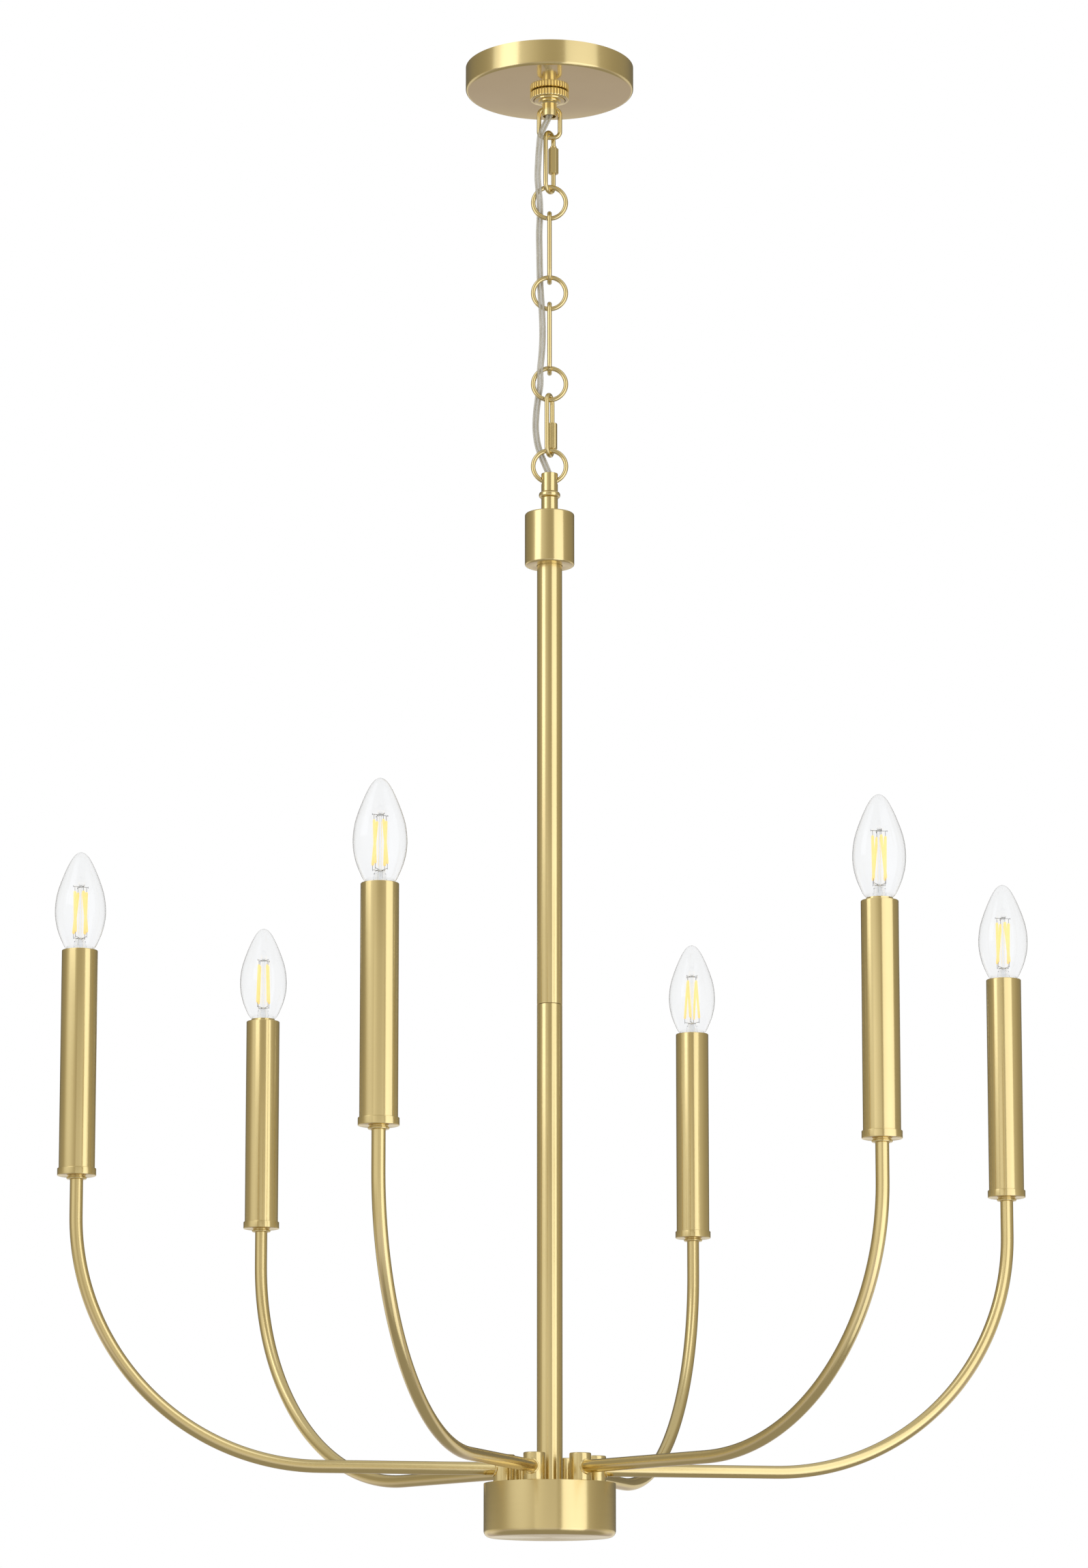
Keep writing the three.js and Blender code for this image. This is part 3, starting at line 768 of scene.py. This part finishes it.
def add_quick_link(name, z, turn, nut_centre, gap_up):
    """An open loop whose gap a long nut closes on its +X bar, with a small shoulder past the nut's end."""
    width = QUICK_LINK_WIDTH - WIRE
    radius = WIRE / 2
    nut_end = nut_centre + gap_up * NUT_LENGTH / 2
    gap_outer = nut_end - gap_up * GAP_FROM_NUT_END
    gap_inner = gap_outer - gap_up * QUICK_GAP
    loop = loop_path(width, QUICK_LINK_LENGTH - WIRE, width / 2, per_corner=12)
    on_bar = (loop[:, 0] > width / 2 - 0.01) & (np.abs(loop[:, 2]) < QUICK_LINK_LENGTH / 2 - WIRE - 5)
    start = [width / 2, 0, max(gap_outer, gap_inner)]
    end = [width / 2, 0, min(gap_outer, gap_inner)]
    path = resampled(np.array([start, *loop[~on_bar], end]), 1.6)
    inner = radius - 0.2
    rim = radius + 0.75
    shoulder = turned(filleted([
        (inner, -0.7), (rim, -0.7, 0.35), (rim, 0.7, 0.35), (inner, 0.7),
    ], steps=3), 40)
    shoulder = placed(shoulder, x=width / 2, z=nut_end + gap_up * 0.9)
    shells = [placed(shell, turn, z=z) for shell in (rounded_bar(path, radius), shoulder)]
    show(build(f"{name}_wire", shells, [gloss_brass]), name)
    nut = placed(hex_nut(NUT_FLATS, NUT_LENGTH, radius + GAP / 2, nut_centre), turn, x=width / 2, z=z)
    show(build(f"{name}_hex", [nut], [gloss_brass], sharp=22), f"{name}_nut")


def add_chain():
    """Every chain piece from the top down, each hung on the wire of the one above."""
    link = loop_path(LINK_WIDTH - WIRE, LINK_LENGTH - WIRE, LINK_CORNER)
    long_corner = (LONG_LINK_WIDTH - WIRE) / 2
    long_link = loop_path(LONG_LINK_WIDTH - WIRE, LONG_LINK_LENGTH - WIRE, long_corner, per_side=14)
    quarter = math.pi / 2
    # each piece: its name, length, turn about Z, path, or a quick link's nut and gap, and its seam
    pieces = [
        ("link_1", LINK_LENGTH, 0.0, link, None),
        ("quick_link_top", QUICK_LINK_LENGTH, math.radians(58), (2.35, 1), None),
        ("ring_1", RING_WIDTH, 0.0, ring_path(), 0.72),
        ("long_link_1", LONG_LINK_LENGTH, quarter, long_link, 0.02),
        ("ring_2", RING_WIDTH, 0.0, ring_path(), 0.75),
        ("long_link_2", LONG_LINK_LENGTH, quarter, long_link, 0.53),
        ("ring_3", RING_WIDTH, 0.0, ring_path(), 0.69),
        ("quick_link_bottom", QUICK_LINK_LENGTH, math.radians(69), (-7.2, -1), None),
        ("ring_4", RING_WIDTH, 0.0, ring_path(), 0.25),
    ]
    upper_wire = FIRST_WIRE
    for name, length, turn, shape, seam in pieces:
        span = length - WIRE
        centre = upper_wire - span / 2
        if isinstance(shape, tuple):
            add_quick_link(name, centre, turn, *shape)
        else:
            add_loop(name, shape, centre, turn, seam)
        upper_wire += WIRE + GAP - span


add_chain()

# ---- stem, coupling, rods and hub


def add_stem():
    """The cross-drilled tube with a bead that the lamp hangs by."""
    out = STEM / 2
    bore = STEM_BORE / 2
    foot = COUPLING_TOP - STEM_DEPTH
    bead = STEM_BEAD / 2
    bead_low = STEM_BEAD_Z - 2.3
    bead_high = STEM_BEAD_Z + 2.3
    outline = filleted([
        (bore, foot), (out, foot), (out, bead_low, 0.3), (bead, bead_low, 2.0),
        (bead, bead_high, 2.0), (out, bead_high, 0.3), (out, STEM_TOP, 0.35), (bore, STEM_TOP, 0.2),
    ], steps=6)
    stem = build("stem_tube", [turned(outline, 72)], [gloss_brass])
    show(cut(stem, cross_drill(STEM_HOLE / 2, STEM_HOLE_Z)), "stem_loop")


def add_coupling():
    """The cylinder that takes the stem from above and the rod from below."""
    out = COUPLING_WIDTH / 2
    bore = COUPLING_BORE / 2
    rod = ROD / 2 + GAP
    stem = STEM / 2 + GAP
    shelf_top = COUPLING_TOP - STEM_DEPTH - GAP
    shelf_base = COUPLING_BOTTOM + ROD_DEPTH
    outline = filleted([
        (rod, COUPLING_BOTTOM, 0.15), (out, COUPLING_BOTTOM, 1.5), (out, COUPLING_TOP, 1.5),
        (stem, COUPLING_TOP, 0.15), (stem, shelf_top), (bore, shelf_top), (bore, shelf_base),
        (rod, shelf_base),
    ], steps=6)
    show(build("coupling_body", [turned(outline, 96)], [satin_brass]), "coupling")


def add_rods():
    """The rod in two lengths; the lower has a spigot up into the upper and a stud into the hub."""
    out = ROD / 2
    bore = ROD_BORE / 2
    top = COUPLING_BOTTOM + ROD_DEPTH - GAP
    foot = ROD_JOINT + GAP / 2
    upper = filleted([(bore, foot), (out, foot, 0.2), (out, top), (bore, top)], steps=3)
    show(build("upper_rod_tube", [turned(upper, 72)], [satin_brass]), "upper_rod")
    shoulder = ROD_JOINT - GAP / 2
    spigot = bore - GAP
    spigot_top = shoulder + SPIGOT_LENGTH
    stud = ROD_STUD / 2
    wire_bore = ROD_STUD_BORE / 2
    foot = HUB_TOP + GAP
    stud_end = foot - ROD_STUD_LENGTH
    lower = filleted([
        (wire_bore, stud_end), (stud, stud_end), (stud, foot), (out, foot), (out, shoulder, 0.2),
        (spigot, shoulder), (spigot, spigot_top), (wire_bore, spigot_top),
    ], steps=3)
    show(build("lower_rod_tube", [turned(lower, 72)], [satin_brass]), "lower_rod")


def add_hub():
    """The hub's drum, and the top plate with a hole for the rod and one for each post."""
    out = HUB_WIDTH / 2
    inner = out - HUB_SHEET
    floor = HUB_BOTTOM + HUB_SHEET
    outline = filleted([
        (0, HUB_BOTTOM), (out, HUB_BOTTOM, HUB_CORNER), (out, HUB_TOP, 0.35), (inner, HUB_TOP, 0.35),
        (inner, floor, HUB_CORNER - HUB_SHEET), (0, floor),
    ], steps=10, closed=False)
    show(build("hub_drum", [turned(outline, 144, False)], [satin_brass]), "hub_cup")
    plate = out - HUB_SHEET - GAP
    hole = ROD_STUD / 2 + GAP
    low = HUB_TOP - HUB_PLATE
    outline = filleted([(hole, low), (plate, low), (plate, HUB_TOP, 0.4), (hole, HUB_TOP)], steps=3)
    top = build("hub_top_plate", [turned(outline, 120)], [satin_brass])
    path = [(0, 0, HUB_TOP - 10), (0, 0, HUB_TOP - 1), (0, 0, HUB_TOP + 10)]
    drill = swept(path, round_section(POST_STUD / 2 + GAP, 24))
    drills = [placed(drill, arm_angle(i), x=POST_CIRCLE) for i in range(ARMS)]
    show(cut(top, build("drills", drills, [satin_brass])), "hub_plate")


# ---- arms and candles


def arm_angle(i):
    """The bearing of an arm, counted from 0, in radians."""
    return math.radians(FIRST_ARM + 360 / ARMS * i)


def post_template():
    """A post at the origin, with its wire bore and the side hole that its arm enters."""
    out = POST_WIDTH / 2
    foot = HUB_TOP + GAP
    top = HUB_TOP + POST_HEIGHT
    stud = POST_STUD / 2
    stud_end = foot - POST_STUD_LENGTH
    bore = POST_WIRE_BORE / 2
    outline = filleted([
        (0, ARM_Z), (bore, ARM_Z), (bore, stud_end), (stud, stud_end), (stud, foot), (out, foot, 0.2),
        (out, top, 0.9), (0, top),
    ], steps=7, closed=False)
    post = build("post", [turned(outline, 56, False)], [tube_brass])
    path = [(0, 0, ARM_Z), (8.0, 0, ARM_Z), (16.0, 0, ARM_Z)]
    drill = build("drill", [swept(path, round_section(ARM_TUBE / 2 + 0.05, 32))], [tube_brass])
    return cut(post, drill)


def arm_shells():
    """An arm's tube in its own XZ plane, from its post's axis, and the brazed bead round its root."""
    reach = CANDLE_CIRCLE - POST_CIRCLE
    start = reach - ARM_BEND
    angles = np.linspace(0, math.pi / 2, 61)
    bend = np.stack([
        start + ARM_BEND * np.sin(angles), 0 * angles, ARM_Z + ARM_BEND - ARM_BEND * np.cos(angles),
    ], axis=1)
    level = np.linspace((1.5, 0, ARM_Z), (start, 0, ARM_Z), 12)[:-1]
    rise = np.linspace(bend[-1], (reach, 0, ARM_END), 4)[1:]
    tube = swept(np.concatenate([level, bend, rise]), round_section(ARM_TUBE / 2, 28))
    around = full_turn(40)
    root = ARM_TUBE / 2 + 0.25
    across = root * np.cos(around)
    out = np.sqrt((POST_WIDTH / 2 + 0.15) ** 2 - across ** 2)
    saddle = np.stack([out, across, ARM_Z + root * np.sin(around)], axis=1)
    bead = swept(saddle, round_section(0.8, 10), reference=(1, 0, 0), closed=True)
    return [tube, bead]


def cup_shell():
    """The candle cup, with the bead under it."""
    hole = ARM_TUBE / 2 + GAP
    rim = CUP_WIDTH / 2
    seat = SLEEVE_OUT / 2 + GAP
    floor = CUP_BASE + CUP_FLOOR
    top = CUP_BASE + CUP_HEIGHT
    bead = 7.25
    bead_low = CUP_BASE - 2.6
    bead_high = CUP_BASE - 0.7
    neck = 6.3
    return turned(filleted([
        (hole, bead_low, 0.2), (bead, bead_low, 0.85), (bead, bead_high, 0.85), (neck, bead_high),
        (neck, CUP_BASE, 0.2), (rim, CUP_BASE, 0.4), (rim, top, 0.45), (seat, top, 0.15), (seat, floor),
        (hole, floor),
    ], steps=5), 72)


def sleeve_shell():
    """The candle sleeve, a plain tube."""
    low = SLEEVE_TOP - SLEEVE_LENGTH
    out = SLEEVE_OUT / 2
    inner = SLEEVE_IN / 2
    return turned(filleted([
        (inner, low), (out, low, 0.2), (out, SLEEVE_TOP, SLEEVE_EDGE), (inner, SLEEVE_TOP, 0.3),
    ], steps=6), 96)


def socket_rim(number):
    """The height of a socket's rim."""
    return SLEEVE_TOP - SOCKET_DEPTH + (PROUD if number in PROUD_SOCKETS else 0)


def socket_shells(rim):
    """The socket's white body, and the brass neck round its top."""
    base = CUP_BASE + CUP_FLOOR + GAP
    arm_bore = ARM_TUBE / 2 + GAP
    arm_end = ARM_END + GAP
    cap_bore = E14_CAP / 2 + 0.7
    neck = SOCKET_NECK / 2
    stub = 8.0
    waist = 4.0
    barrel = 11.2
    tip_bore = 2.2
    lip = rim - 0.7
    shoulder = rim - 3.1
    body = turned(filleted([
        (arm_bore, base), (stub, base), (stub, arm_end + 2, 0.5), (waist, arm_end + 3), (waist, rim - 54),
        (barrel, rim - 52, 0.8), (barrel, shoulder, 0.4), (neck - 0.5, shoulder),
        (neck - 0.5, lip), (cap_bore, lip, 0.2), (cap_bore, rim - 32),
        (tip_bore, rim - 33), (tip_bore, arm_end), (arm_bore, arm_end),
    ], steps=4), 48)
    inner = neck - 0.48
    ring = turned(filleted([
        (inner, rim - 3), (neck, rim - 3), (neck, rim, 0.2), (inner, rim, 0.1),
    ], steps=3), 64)
    return [body, ring]


def smooth_outline(knots, steps=7):
    """A smooth [r, z] curve through knots."""
    curve = centripetal([(r, 0.0, z) for r, z in knots], steps)
    return [(max(point[0], 0.0), point[2]) for point in curve]


def envelope_shell():
    """The bulb's glass: a candle shape outside, and the same shape inside a thin wall."""
    outside = [
        (6.6, -7.0), (6.8, -1.2), (9.0, 0.5), (10.8, 2.2), (11.9, 4.0), (13.1, 6.6), (14.4, 9.6),
        (15.9, 13.6), (17.3, 18.8), (18.15, 24.0), (18.4, 29.8), (17.95, 36.0), (16.8, 42.4),
        (14.9, 48.6), (13.2, 53.2), (11.2, 58.2), (8.4, 64.2), (5.8, 68.6), (3.5, 71.1), (1.6, 72.2),
        (0.0, BULB_HEIGHT),
    ]
    outline = np.array(smooth_outline(outside))
    wall = 0.6
    direction = directions(outline)
    inner = outline - wall * np.stack([direction[:, 1], -direction[:, 0]], axis=1)
    inner[-1] = (0.0, BULB_HEIGHT - wall)
    inner[:, 0] = np.maximum(inner[:, 0], 0.0)
    return turned(np.concatenate([inner[::-1], outline]), 80, False)


def cap_shell(rim):
    """The screw cap: a rolled thread, the cone below it and the solder tip, as one closed shell."""
    radius = E14_CAP / 2
    foot = rim - CAP_REACH
    thread = [(radius, z) for z in np.linspace(foot + 5.5, rim - 6.0, 60)]
    outline = [
        (0.0, foot), (2.2, foot + 0.1), (3.0, foot + 0.8), (4.5, foot + 1.3), (radius - 0.5, foot + 4.6),
        *thread, (radius - 0.3, rim - 5.0), (radius - 0.3, rim - 3.0), (radius - 0.5, rim - 2.6),
        (0.0, rim - 2.6),
    ]
    return turned(outline, 48, False, threaded(radius, 0.55, 2.8))


# heights above the socket's rim, and radii
FILAMENT_TOP = 43.5
FILAMENT_FOOT = 13.0
FILAMENT_TOP_RADIUS = 4.6
FILAMENT_FOOT_RADIUS = 5.9
CROWN = 47.0


def ring_point(radius, angle, z):
    """A point at a radius and bearing from the Z axis."""
    return np.array([radius * math.cos(angle), radius * math.sin(angle), z])


def straight_wire(start, end, radius=0.17):
    """A thin straight wire, in any direction."""
    reference = (0, 1, 0) if abs(end[2] - start[2]) > 0.5 * np.linalg.norm(end - start) else (0, 0, 1)
    return swept(np.linspace(start, end, 3), round_section(radius, 8), reference=reference)


def filament_shells(turn, lean):
    """Four coated sticks that lean round the glass rod, and the wires that hold them at both ends."""
    section = round_section(1.08, 14, 0.85)
    shares = np.array([0, 0.012, 0.03, 0.2, 0.4, 0.6, 0.8, 0.97, 0.988, 1])
    ends = np.array([0.5, 0.85, 1, 1, 1, 1, 1, 1, 0.85, 0.5])
    out = FILAMENT_FOOT_RADIUS
    hoop = np.array([ring_point(2.1, a, CROWN) for a in full_turn(32)])
    sticks = []
    wires = [swept(hoop, round_section(0.2, 8), reference=(0, 0, 1), closed=True)]
    for k in range(4):
        upper = turn + k * math.pi / 2
        lower = upper + lean
        top = ring_point(FILAMENT_TOP_RADIUS, upper, FILAMENT_TOP)
        foot = ring_point(out, lower, FILAMENT_FOOT)
        sticks.append(swept(foot + shares[:, None] * (top - foot), section, scale=ends))
        knee = ring_point(out, lower, 10.0)
        spans = [
            (top - [0, 0, 0.3], ring_point(4.7, upper, CROWN)),
            (ring_point(2.2, upper, CROWN), ring_point(out, upper, CROWN)),
            (ring_point(out, upper, 46.4), ring_point(out, upper, 47.6)),
            (knee - [0, 0, 0.8], foot + [0, 0, 0.3]),
            (knee, ring_point(1.5, lower + 0.5, 9.2)),
        ]
        wires.extend(straight_wire(start, end) for start, end in spans)
    return sticks, wires


def stem_shells():
    """The bulb's glass mount: a flared tube, the pinched press in it, and a thin rod up the middle."""
    flare = turned(filleted([
        (4.6, -6.0), (4.6, 3.0, 2.0), (4.1, 6.8, 1.0), (3.0, 9.0, 0.8),
        (1.4, 9.6), (1.4, 8.8), (2.5, 8.2, 0.6), (3.5, 6.2, 0.8),
        (4.0, 2.6, 1.6), (4.0, -6.0),
    ], steps=5), 40)
    press = turned(smooth_outline([
        (0.0, 0.6), (1.7, 1.2), (2.1, 3.4), (1.9, 6.0), (1.4, 8.0),
        (0.0, 8.6),
    ], 5), 32, False)
    rod = swept(np.linspace((0, 0, 8.4), (0, 0, 47.8), 8), round_section(1.1, 24))
    crown = turned(filleted([
        (0.0, 47.7), (1.5, 47.7, 0.4), (1.5, 49.0, 0.6), (0.0, 49.0),
    ], steps=4, closed=False), 32, False)
    return [flare, press, rod, crown]


def add_post(number, angle, template):
    """A copy of the template post, turned to its arm's bearing."""
    mesh = template.data.copy()
    points = np.array([vertex.co for vertex in mesh.vertices], float)
    points, _ = placed((points, None), angle, x=POST_CIRCLE * MM)
    mesh.vertices.foreach_set("co", points.astype(np.float32).ravel())
    mesh.update()
    show(add_object(f"post_{number}_turned", mesh), f"post_{number}")


def add_candle(number, angle, bulb_turn, lean):
    """The cup, sleeve, socket and bulb at an arm's tip; the bulb's turn and lean are in degrees."""
    rim = socket_rim(number)
    bulb = f"bulb_{number}"
    sticks, wires = filament_shells(math.radians(bulb_turn), math.radians(lean))

    def at_tip(name, shells, materials, z=0.0, sharp=35.0):
        """Builds shells made about the Z axis at the arm's tip."""
        moved = [placed(shell, angle, x=CANDLE_CIRCLE, z=z) for shell in shells]
        return build(name, moved, materials, sharp)

    show(at_tip(f"cup_{number}", [cup_shell()], [satin_brass]), f"candle_cup_{number}")
    show(at_tip(f"sleeve_{number}_tube", [sleeve_shell()], [satin_brass]), f"sleeve_{number}")
    socket = at_tip(f"socket_{number}_body", socket_shells(rim), [white_moulding, gloss_brass])
    show(socket, f"socket_{number}", slot="socket_ceramic")
    show(at_tip(f"{bulb}_envelope", [envelope_shell()], [bulb_glass], rim), bulb, slot="bulb_glass")
    show(at_tip(f"{bulb}_cap", [cap_shell(rim)], [gloss_brass], sharp=60), body=bulb)
    show(at_tip(f"{bulb}_filaments", sticks, [filament_coat], rim), slot="bulb_glass", body=bulb)
    show(at_tip(f"{bulb}_wires", wires, [wire_metal], rim), slot="zinc_steel", body=bulb)
    show(at_tip(f"{bulb}_mount", stem_shells(), [stem_glass], rim), slot="bulb_glass", body=bulb)


# how far each bulb is turned in its socket, and how far its filaments lean, in degrees
BULB_TURNS = (4, 64, 1, 19, 49, 64)
FILAMENT_LEANS = (30, 30, 0, 30, 30, 30)


def add_arms():
    """Every arm with its post and its candle."""
    template = post_template()
    for i in range(ARMS):
        number = i + 1
        angle = arm_angle(i)
        add_post(number, angle, template)
        arm = [placed(shell, angle, x=POST_CIRCLE) for shell in arm_shells()]
        show(build(f"arm_{number}_tube", arm, [tube_brass]), f"arm_{number}")
        add_candle(number, angle, BULB_TURNS[i], FILAMENT_LEANS[i])
    bpy.data.objects.remove(template)


add_stem()
add_coupling()
add_rods()
add_hub()
add_arms()

# the crossbar and the locknut keep their CAD shapes
for node in ("crossbar", "hub_locknut"):
    kept = frame["nodes"][node]
    kept.data.materials.clear()
    kept.data.materials.append(zinc)

# ---- stage and light


FLOOR_RADIUS = 5.0
FLOOR_Z = -2.3


def add_floor():
    """A wide pale floor under the lamp, which shows from above only."""
    mesh = bpy.data.meshes.new("floor")
    rim = [(FLOOR_RADIUS * math.cos(a), FLOOR_RADIUS * math.sin(a), FLOOR_Z) for a in full_turn(96)]
    mesh.from_pydata(rim, [], [tuple(range(len(rim)))])
    material, tree, shader = empty_material("pale_floor", Roughness=0.7, Emission_Strength=0.36)
    grain = noise_at(tree, (3, 3, 3), detail=2.0)
    add_tone(tree, shader, grain, (0.80, 0.80, 0.79), (0.84, 0.84, 0.83), glows=True)
    clear = add_node(tree, "ShaderNodeBsdfTransparent")
    side = add_node(tree, "ShaderNodeNewGeometry")
    mix = add_node(tree, "ShaderNodeMixShader", Fac=side.outputs["Backfacing"])
    tree.links.new(shader.outputs["BSDF"], mix.inputs[1])
    tree.links.new(clear.outputs["BSDF"], mix.inputs[2])
    tree.links.new(mix.outputs["Shader"], tree.nodes["Material Output"].inputs["Surface"])
    mesh.materials.append(material)
    floor = add_object("floor", mesh)
    floor.visible_glossy = False


# the studio seen in reflections above the horizon: degrees to the right of the front, and brightness
STUDIO = (
    (-180, 0.14), (-150, 0.19), (-128, 0.31), (-100, 0.37), (-84, 0.50), (-72, 0.80), (-58, 0.90),
    (-44, 0.86), (-32, 0.76), (-20, 0.64), (-9, 0.50), (5, 0.44), (20, 0.48), (36, 0.60), (60, 0.60),
    (80, 0.48), (100, 0.38), (128, 0.34), (150, 0.20), (180, 0.14),
)
# the same just below the horizon and further down, where raised views look in the metal
LOW_STUDIO = (
    (-180, 0.80), (-160, 0.78), (-140, 0.80), (-115, 0.65), (-90, 0.42), (-65, 0.62), (-45, 0.80),
    (-22, 0.50), (0, 0.60), (22, 0.50), (45, 0.85), (65, 0.65), (90, 0.42), (115, 0.65), (140, 0.80),
    (160, 0.78), (180, 0.80),
)
DEEP_STUDIO = (
    (-180, 0.48), (-155, 0.52), (-135, 0.90), (-115, 0.70), (-90, 0.42), (-65, 0.65), (-45, 0.90),
    (-22, 0.55), (0, 0.45), (22, 0.55), (45, 0.95), (65, 0.65), (90, 0.42), (115, 0.70), (135, 0.90),
    (155, 0.52), (180, 0.48),
)
STUDIO_PEAK = 1.5
WARM_SHADE = (1.0, 0.91, 0.72)
COOL_LIGHT = (1.0, 1.0, 1.03)
SOFTBOX_TINT = (1.0, 1.04, 1.16)
DEEP_SHADE = (1.0, 0.915, 1.03)
ZENITH = (0.40, 0.39, 0.37, 1)
NADIR = (0.24, 0.225, 0.20, 1)


def studio_colour(light, shade):
    """Dim parts of the studio are warm and bright ones a little cool, as a share of its peak."""
    cool = min(1.0, max(0.0, (light - 0.45) / 0.6))
    return [light / STUDIO_PEAK * (w + (c - w) * cool) for w, c in zip(shade, COOL_LIGHT)] + [1]


def add_bands(tree, share, bands, shade=WARM_SHADE):
    """A colour ramp right round the horizon."""
    node = add_node(tree, "ShaderNodeValToRGB", Fac=share)
    ramp = node.color_ramp
    ramp.interpolation = "B_SPLINE"
    for _ in range(len(bands) - 2):
        ramp.elements.new(0.5)
    for k, (degrees, light) in enumerate(bands):
        ramp.elements[k].position = (degrees + 180) / 360
        ramp.elements[k].color = studio_colour(light, shade)
    return node.outputs["Color"]


def add_ramp_mix(tree, value, start, end, low, high):
    """Fades from one colour to another as a value goes from start to end."""
    fade = spread(tree, value, start, end, interpolation_type="SMOOTHSTEP")
    mix = add_node(tree, "ShaderNodeMix", data_type="RGBA", Factor=fade)
    for socket, colour in (("A", low), ("B", high)):
        target = [s for s in mix.inputs if s.name == socket and s.type == "RGBA"][0]
        if isinstance(colour, tuple):
            target.default_value = colour
        else:
            tree.links.new(colour, target)
    return [s for s in mix.outputs if s.type == "RGBA"][0]


def add_math(tree, operation, *values):
    """A math node on values that are each a number or another node's output."""
    node = add_node(tree, "ShaderNodeMath", operation=operation)
    for target, value in zip(node.inputs, values):
        if isinstance(value, float):
            target.default_value = value
        else:
            tree.links.new(value, target)
    return node.outputs[0]


def add_world():
    """White behind the lamp, and soft bright and dim bands around it for everything that reflects."""
    world = bpy.data.worlds.new("studio")
    scene.world = world
    world.use_nodes = True
    tree = world.node_tree
    tree.nodes.clear()
    place = add_node(tree, "ShaderNodeTexCoord")
    parts = add_node(tree, "ShaderNodeSeparateXYZ", Vector=place.outputs["Generated"])
    front = add_math(tree, "MULTIPLY", parts.outputs["Y"], -1.0)
    bearing = add_math(tree, "ARCTAN2", parts.outputs["X"], front)
    share = spread(tree, bearing, -math.pi, math.pi)
    upper = add_bands(tree, share, STUDIO)
    low = add_bands(tree, share, LOW_STUDIO)
    deep = add_bands(tree, share, DEEP_STUDIO, DEEP_SHADE)
    height = parts.outputs["Z"]
    under = add_ramp_mix(tree, height, -0.62, -0.38, NADIR, deep)
    lower = add_ramp_mix(tree, height, -0.30, -0.20, under, low)
    around = add_ramp_mix(tree, height, -0.05, 0.0, lower, upper)
    whole = add_ramp_mix(tree, height, 0.45, 0.85, around, ZENITH)
    studio = add_node(tree, "ShaderNodeBackground", Color=whole, Strength=STUDIO_PEAK)
    white = add_node(tree, "ShaderNodeBackground", Strength=1.0, Color=(1, 1, 1, 1))
    rays = add_node(tree, "ShaderNodeLightPath")
    seen = add_math(tree, "MAXIMUM", rays.outputs["Is Camera Ray"], rays.outputs["Is Transmission Ray"])
    mix = add_node(tree, "ShaderNodeMixShader", Fac=seen)
    tree.links.new(studio.outputs["Background"], mix.inputs[1])
    tree.links.new(white.outputs["Background"], mix.inputs[2])
    add_node(tree, "ShaderNodeOutputWorld", Surface=mix.outputs["Shader"])


# each softbox: its name, the floor points of its two sides, the heights of its ends, and its radiance
SOFTBOXES = (
    ("right_softbox", (0.31, -0.82), (0.82, -0.36), -1.75, 0.1, 0.64),
    ("upper_right_softbox", (0.31, -0.82), (0.82, -0.36), 0.1, 0.65, 0.37),
    ("left_softbox", (-0.86, -0.30), (-0.60, -0.68), -0.52, 0.1, 0.75),
    ("upper_left_softbox", (-0.84, -0.33), (-0.60, -0.68), 0.1, 0.9, 0.58),
    ("side_softbox", (-0.90, -0.16), (-0.84, -0.33), 0.02, 0.9, 0.36),
    ("front_softbox", (-0.38, -0.80), (0.20, -0.86), -1.75, -0.58, 0.17),
)


def add_softbox(name, left, right, low, high, radiance):
    """An upright rectangular light between two floor points, facing the chandelier's axis."""
    left = np.array(left)
    right = np.array(right)
    width = float(np.linalg.norm(right - left))
    data = bpy.data.lights.new(name, "AREA")
    data.shape = "RECTANGLE"
    data.size = width
    data.size_y = high - low
    data.color = SOFTBOX_TINT
    data.energy = radiance * 4 * width * (high - low)
    lamp = add_object(name, data)
    middle = (left + right) / 2
    lamp.location = (middle[0], middle[1], (low + high) / 2)
    along = right - left
    lamp.rotation_euler = (math.pi / 2, 0, math.atan2(along[1], along[0]))
    lamp.visible_camera = False
    lamp.visible_transmission = False


add_floor()
add_world()
# softboxes in front, on both sides, make the sharp bright bands down the metal
for softbox in SOFTBOXES:
    add_softbox(*softbox)

bpy.context.view_layer.update()
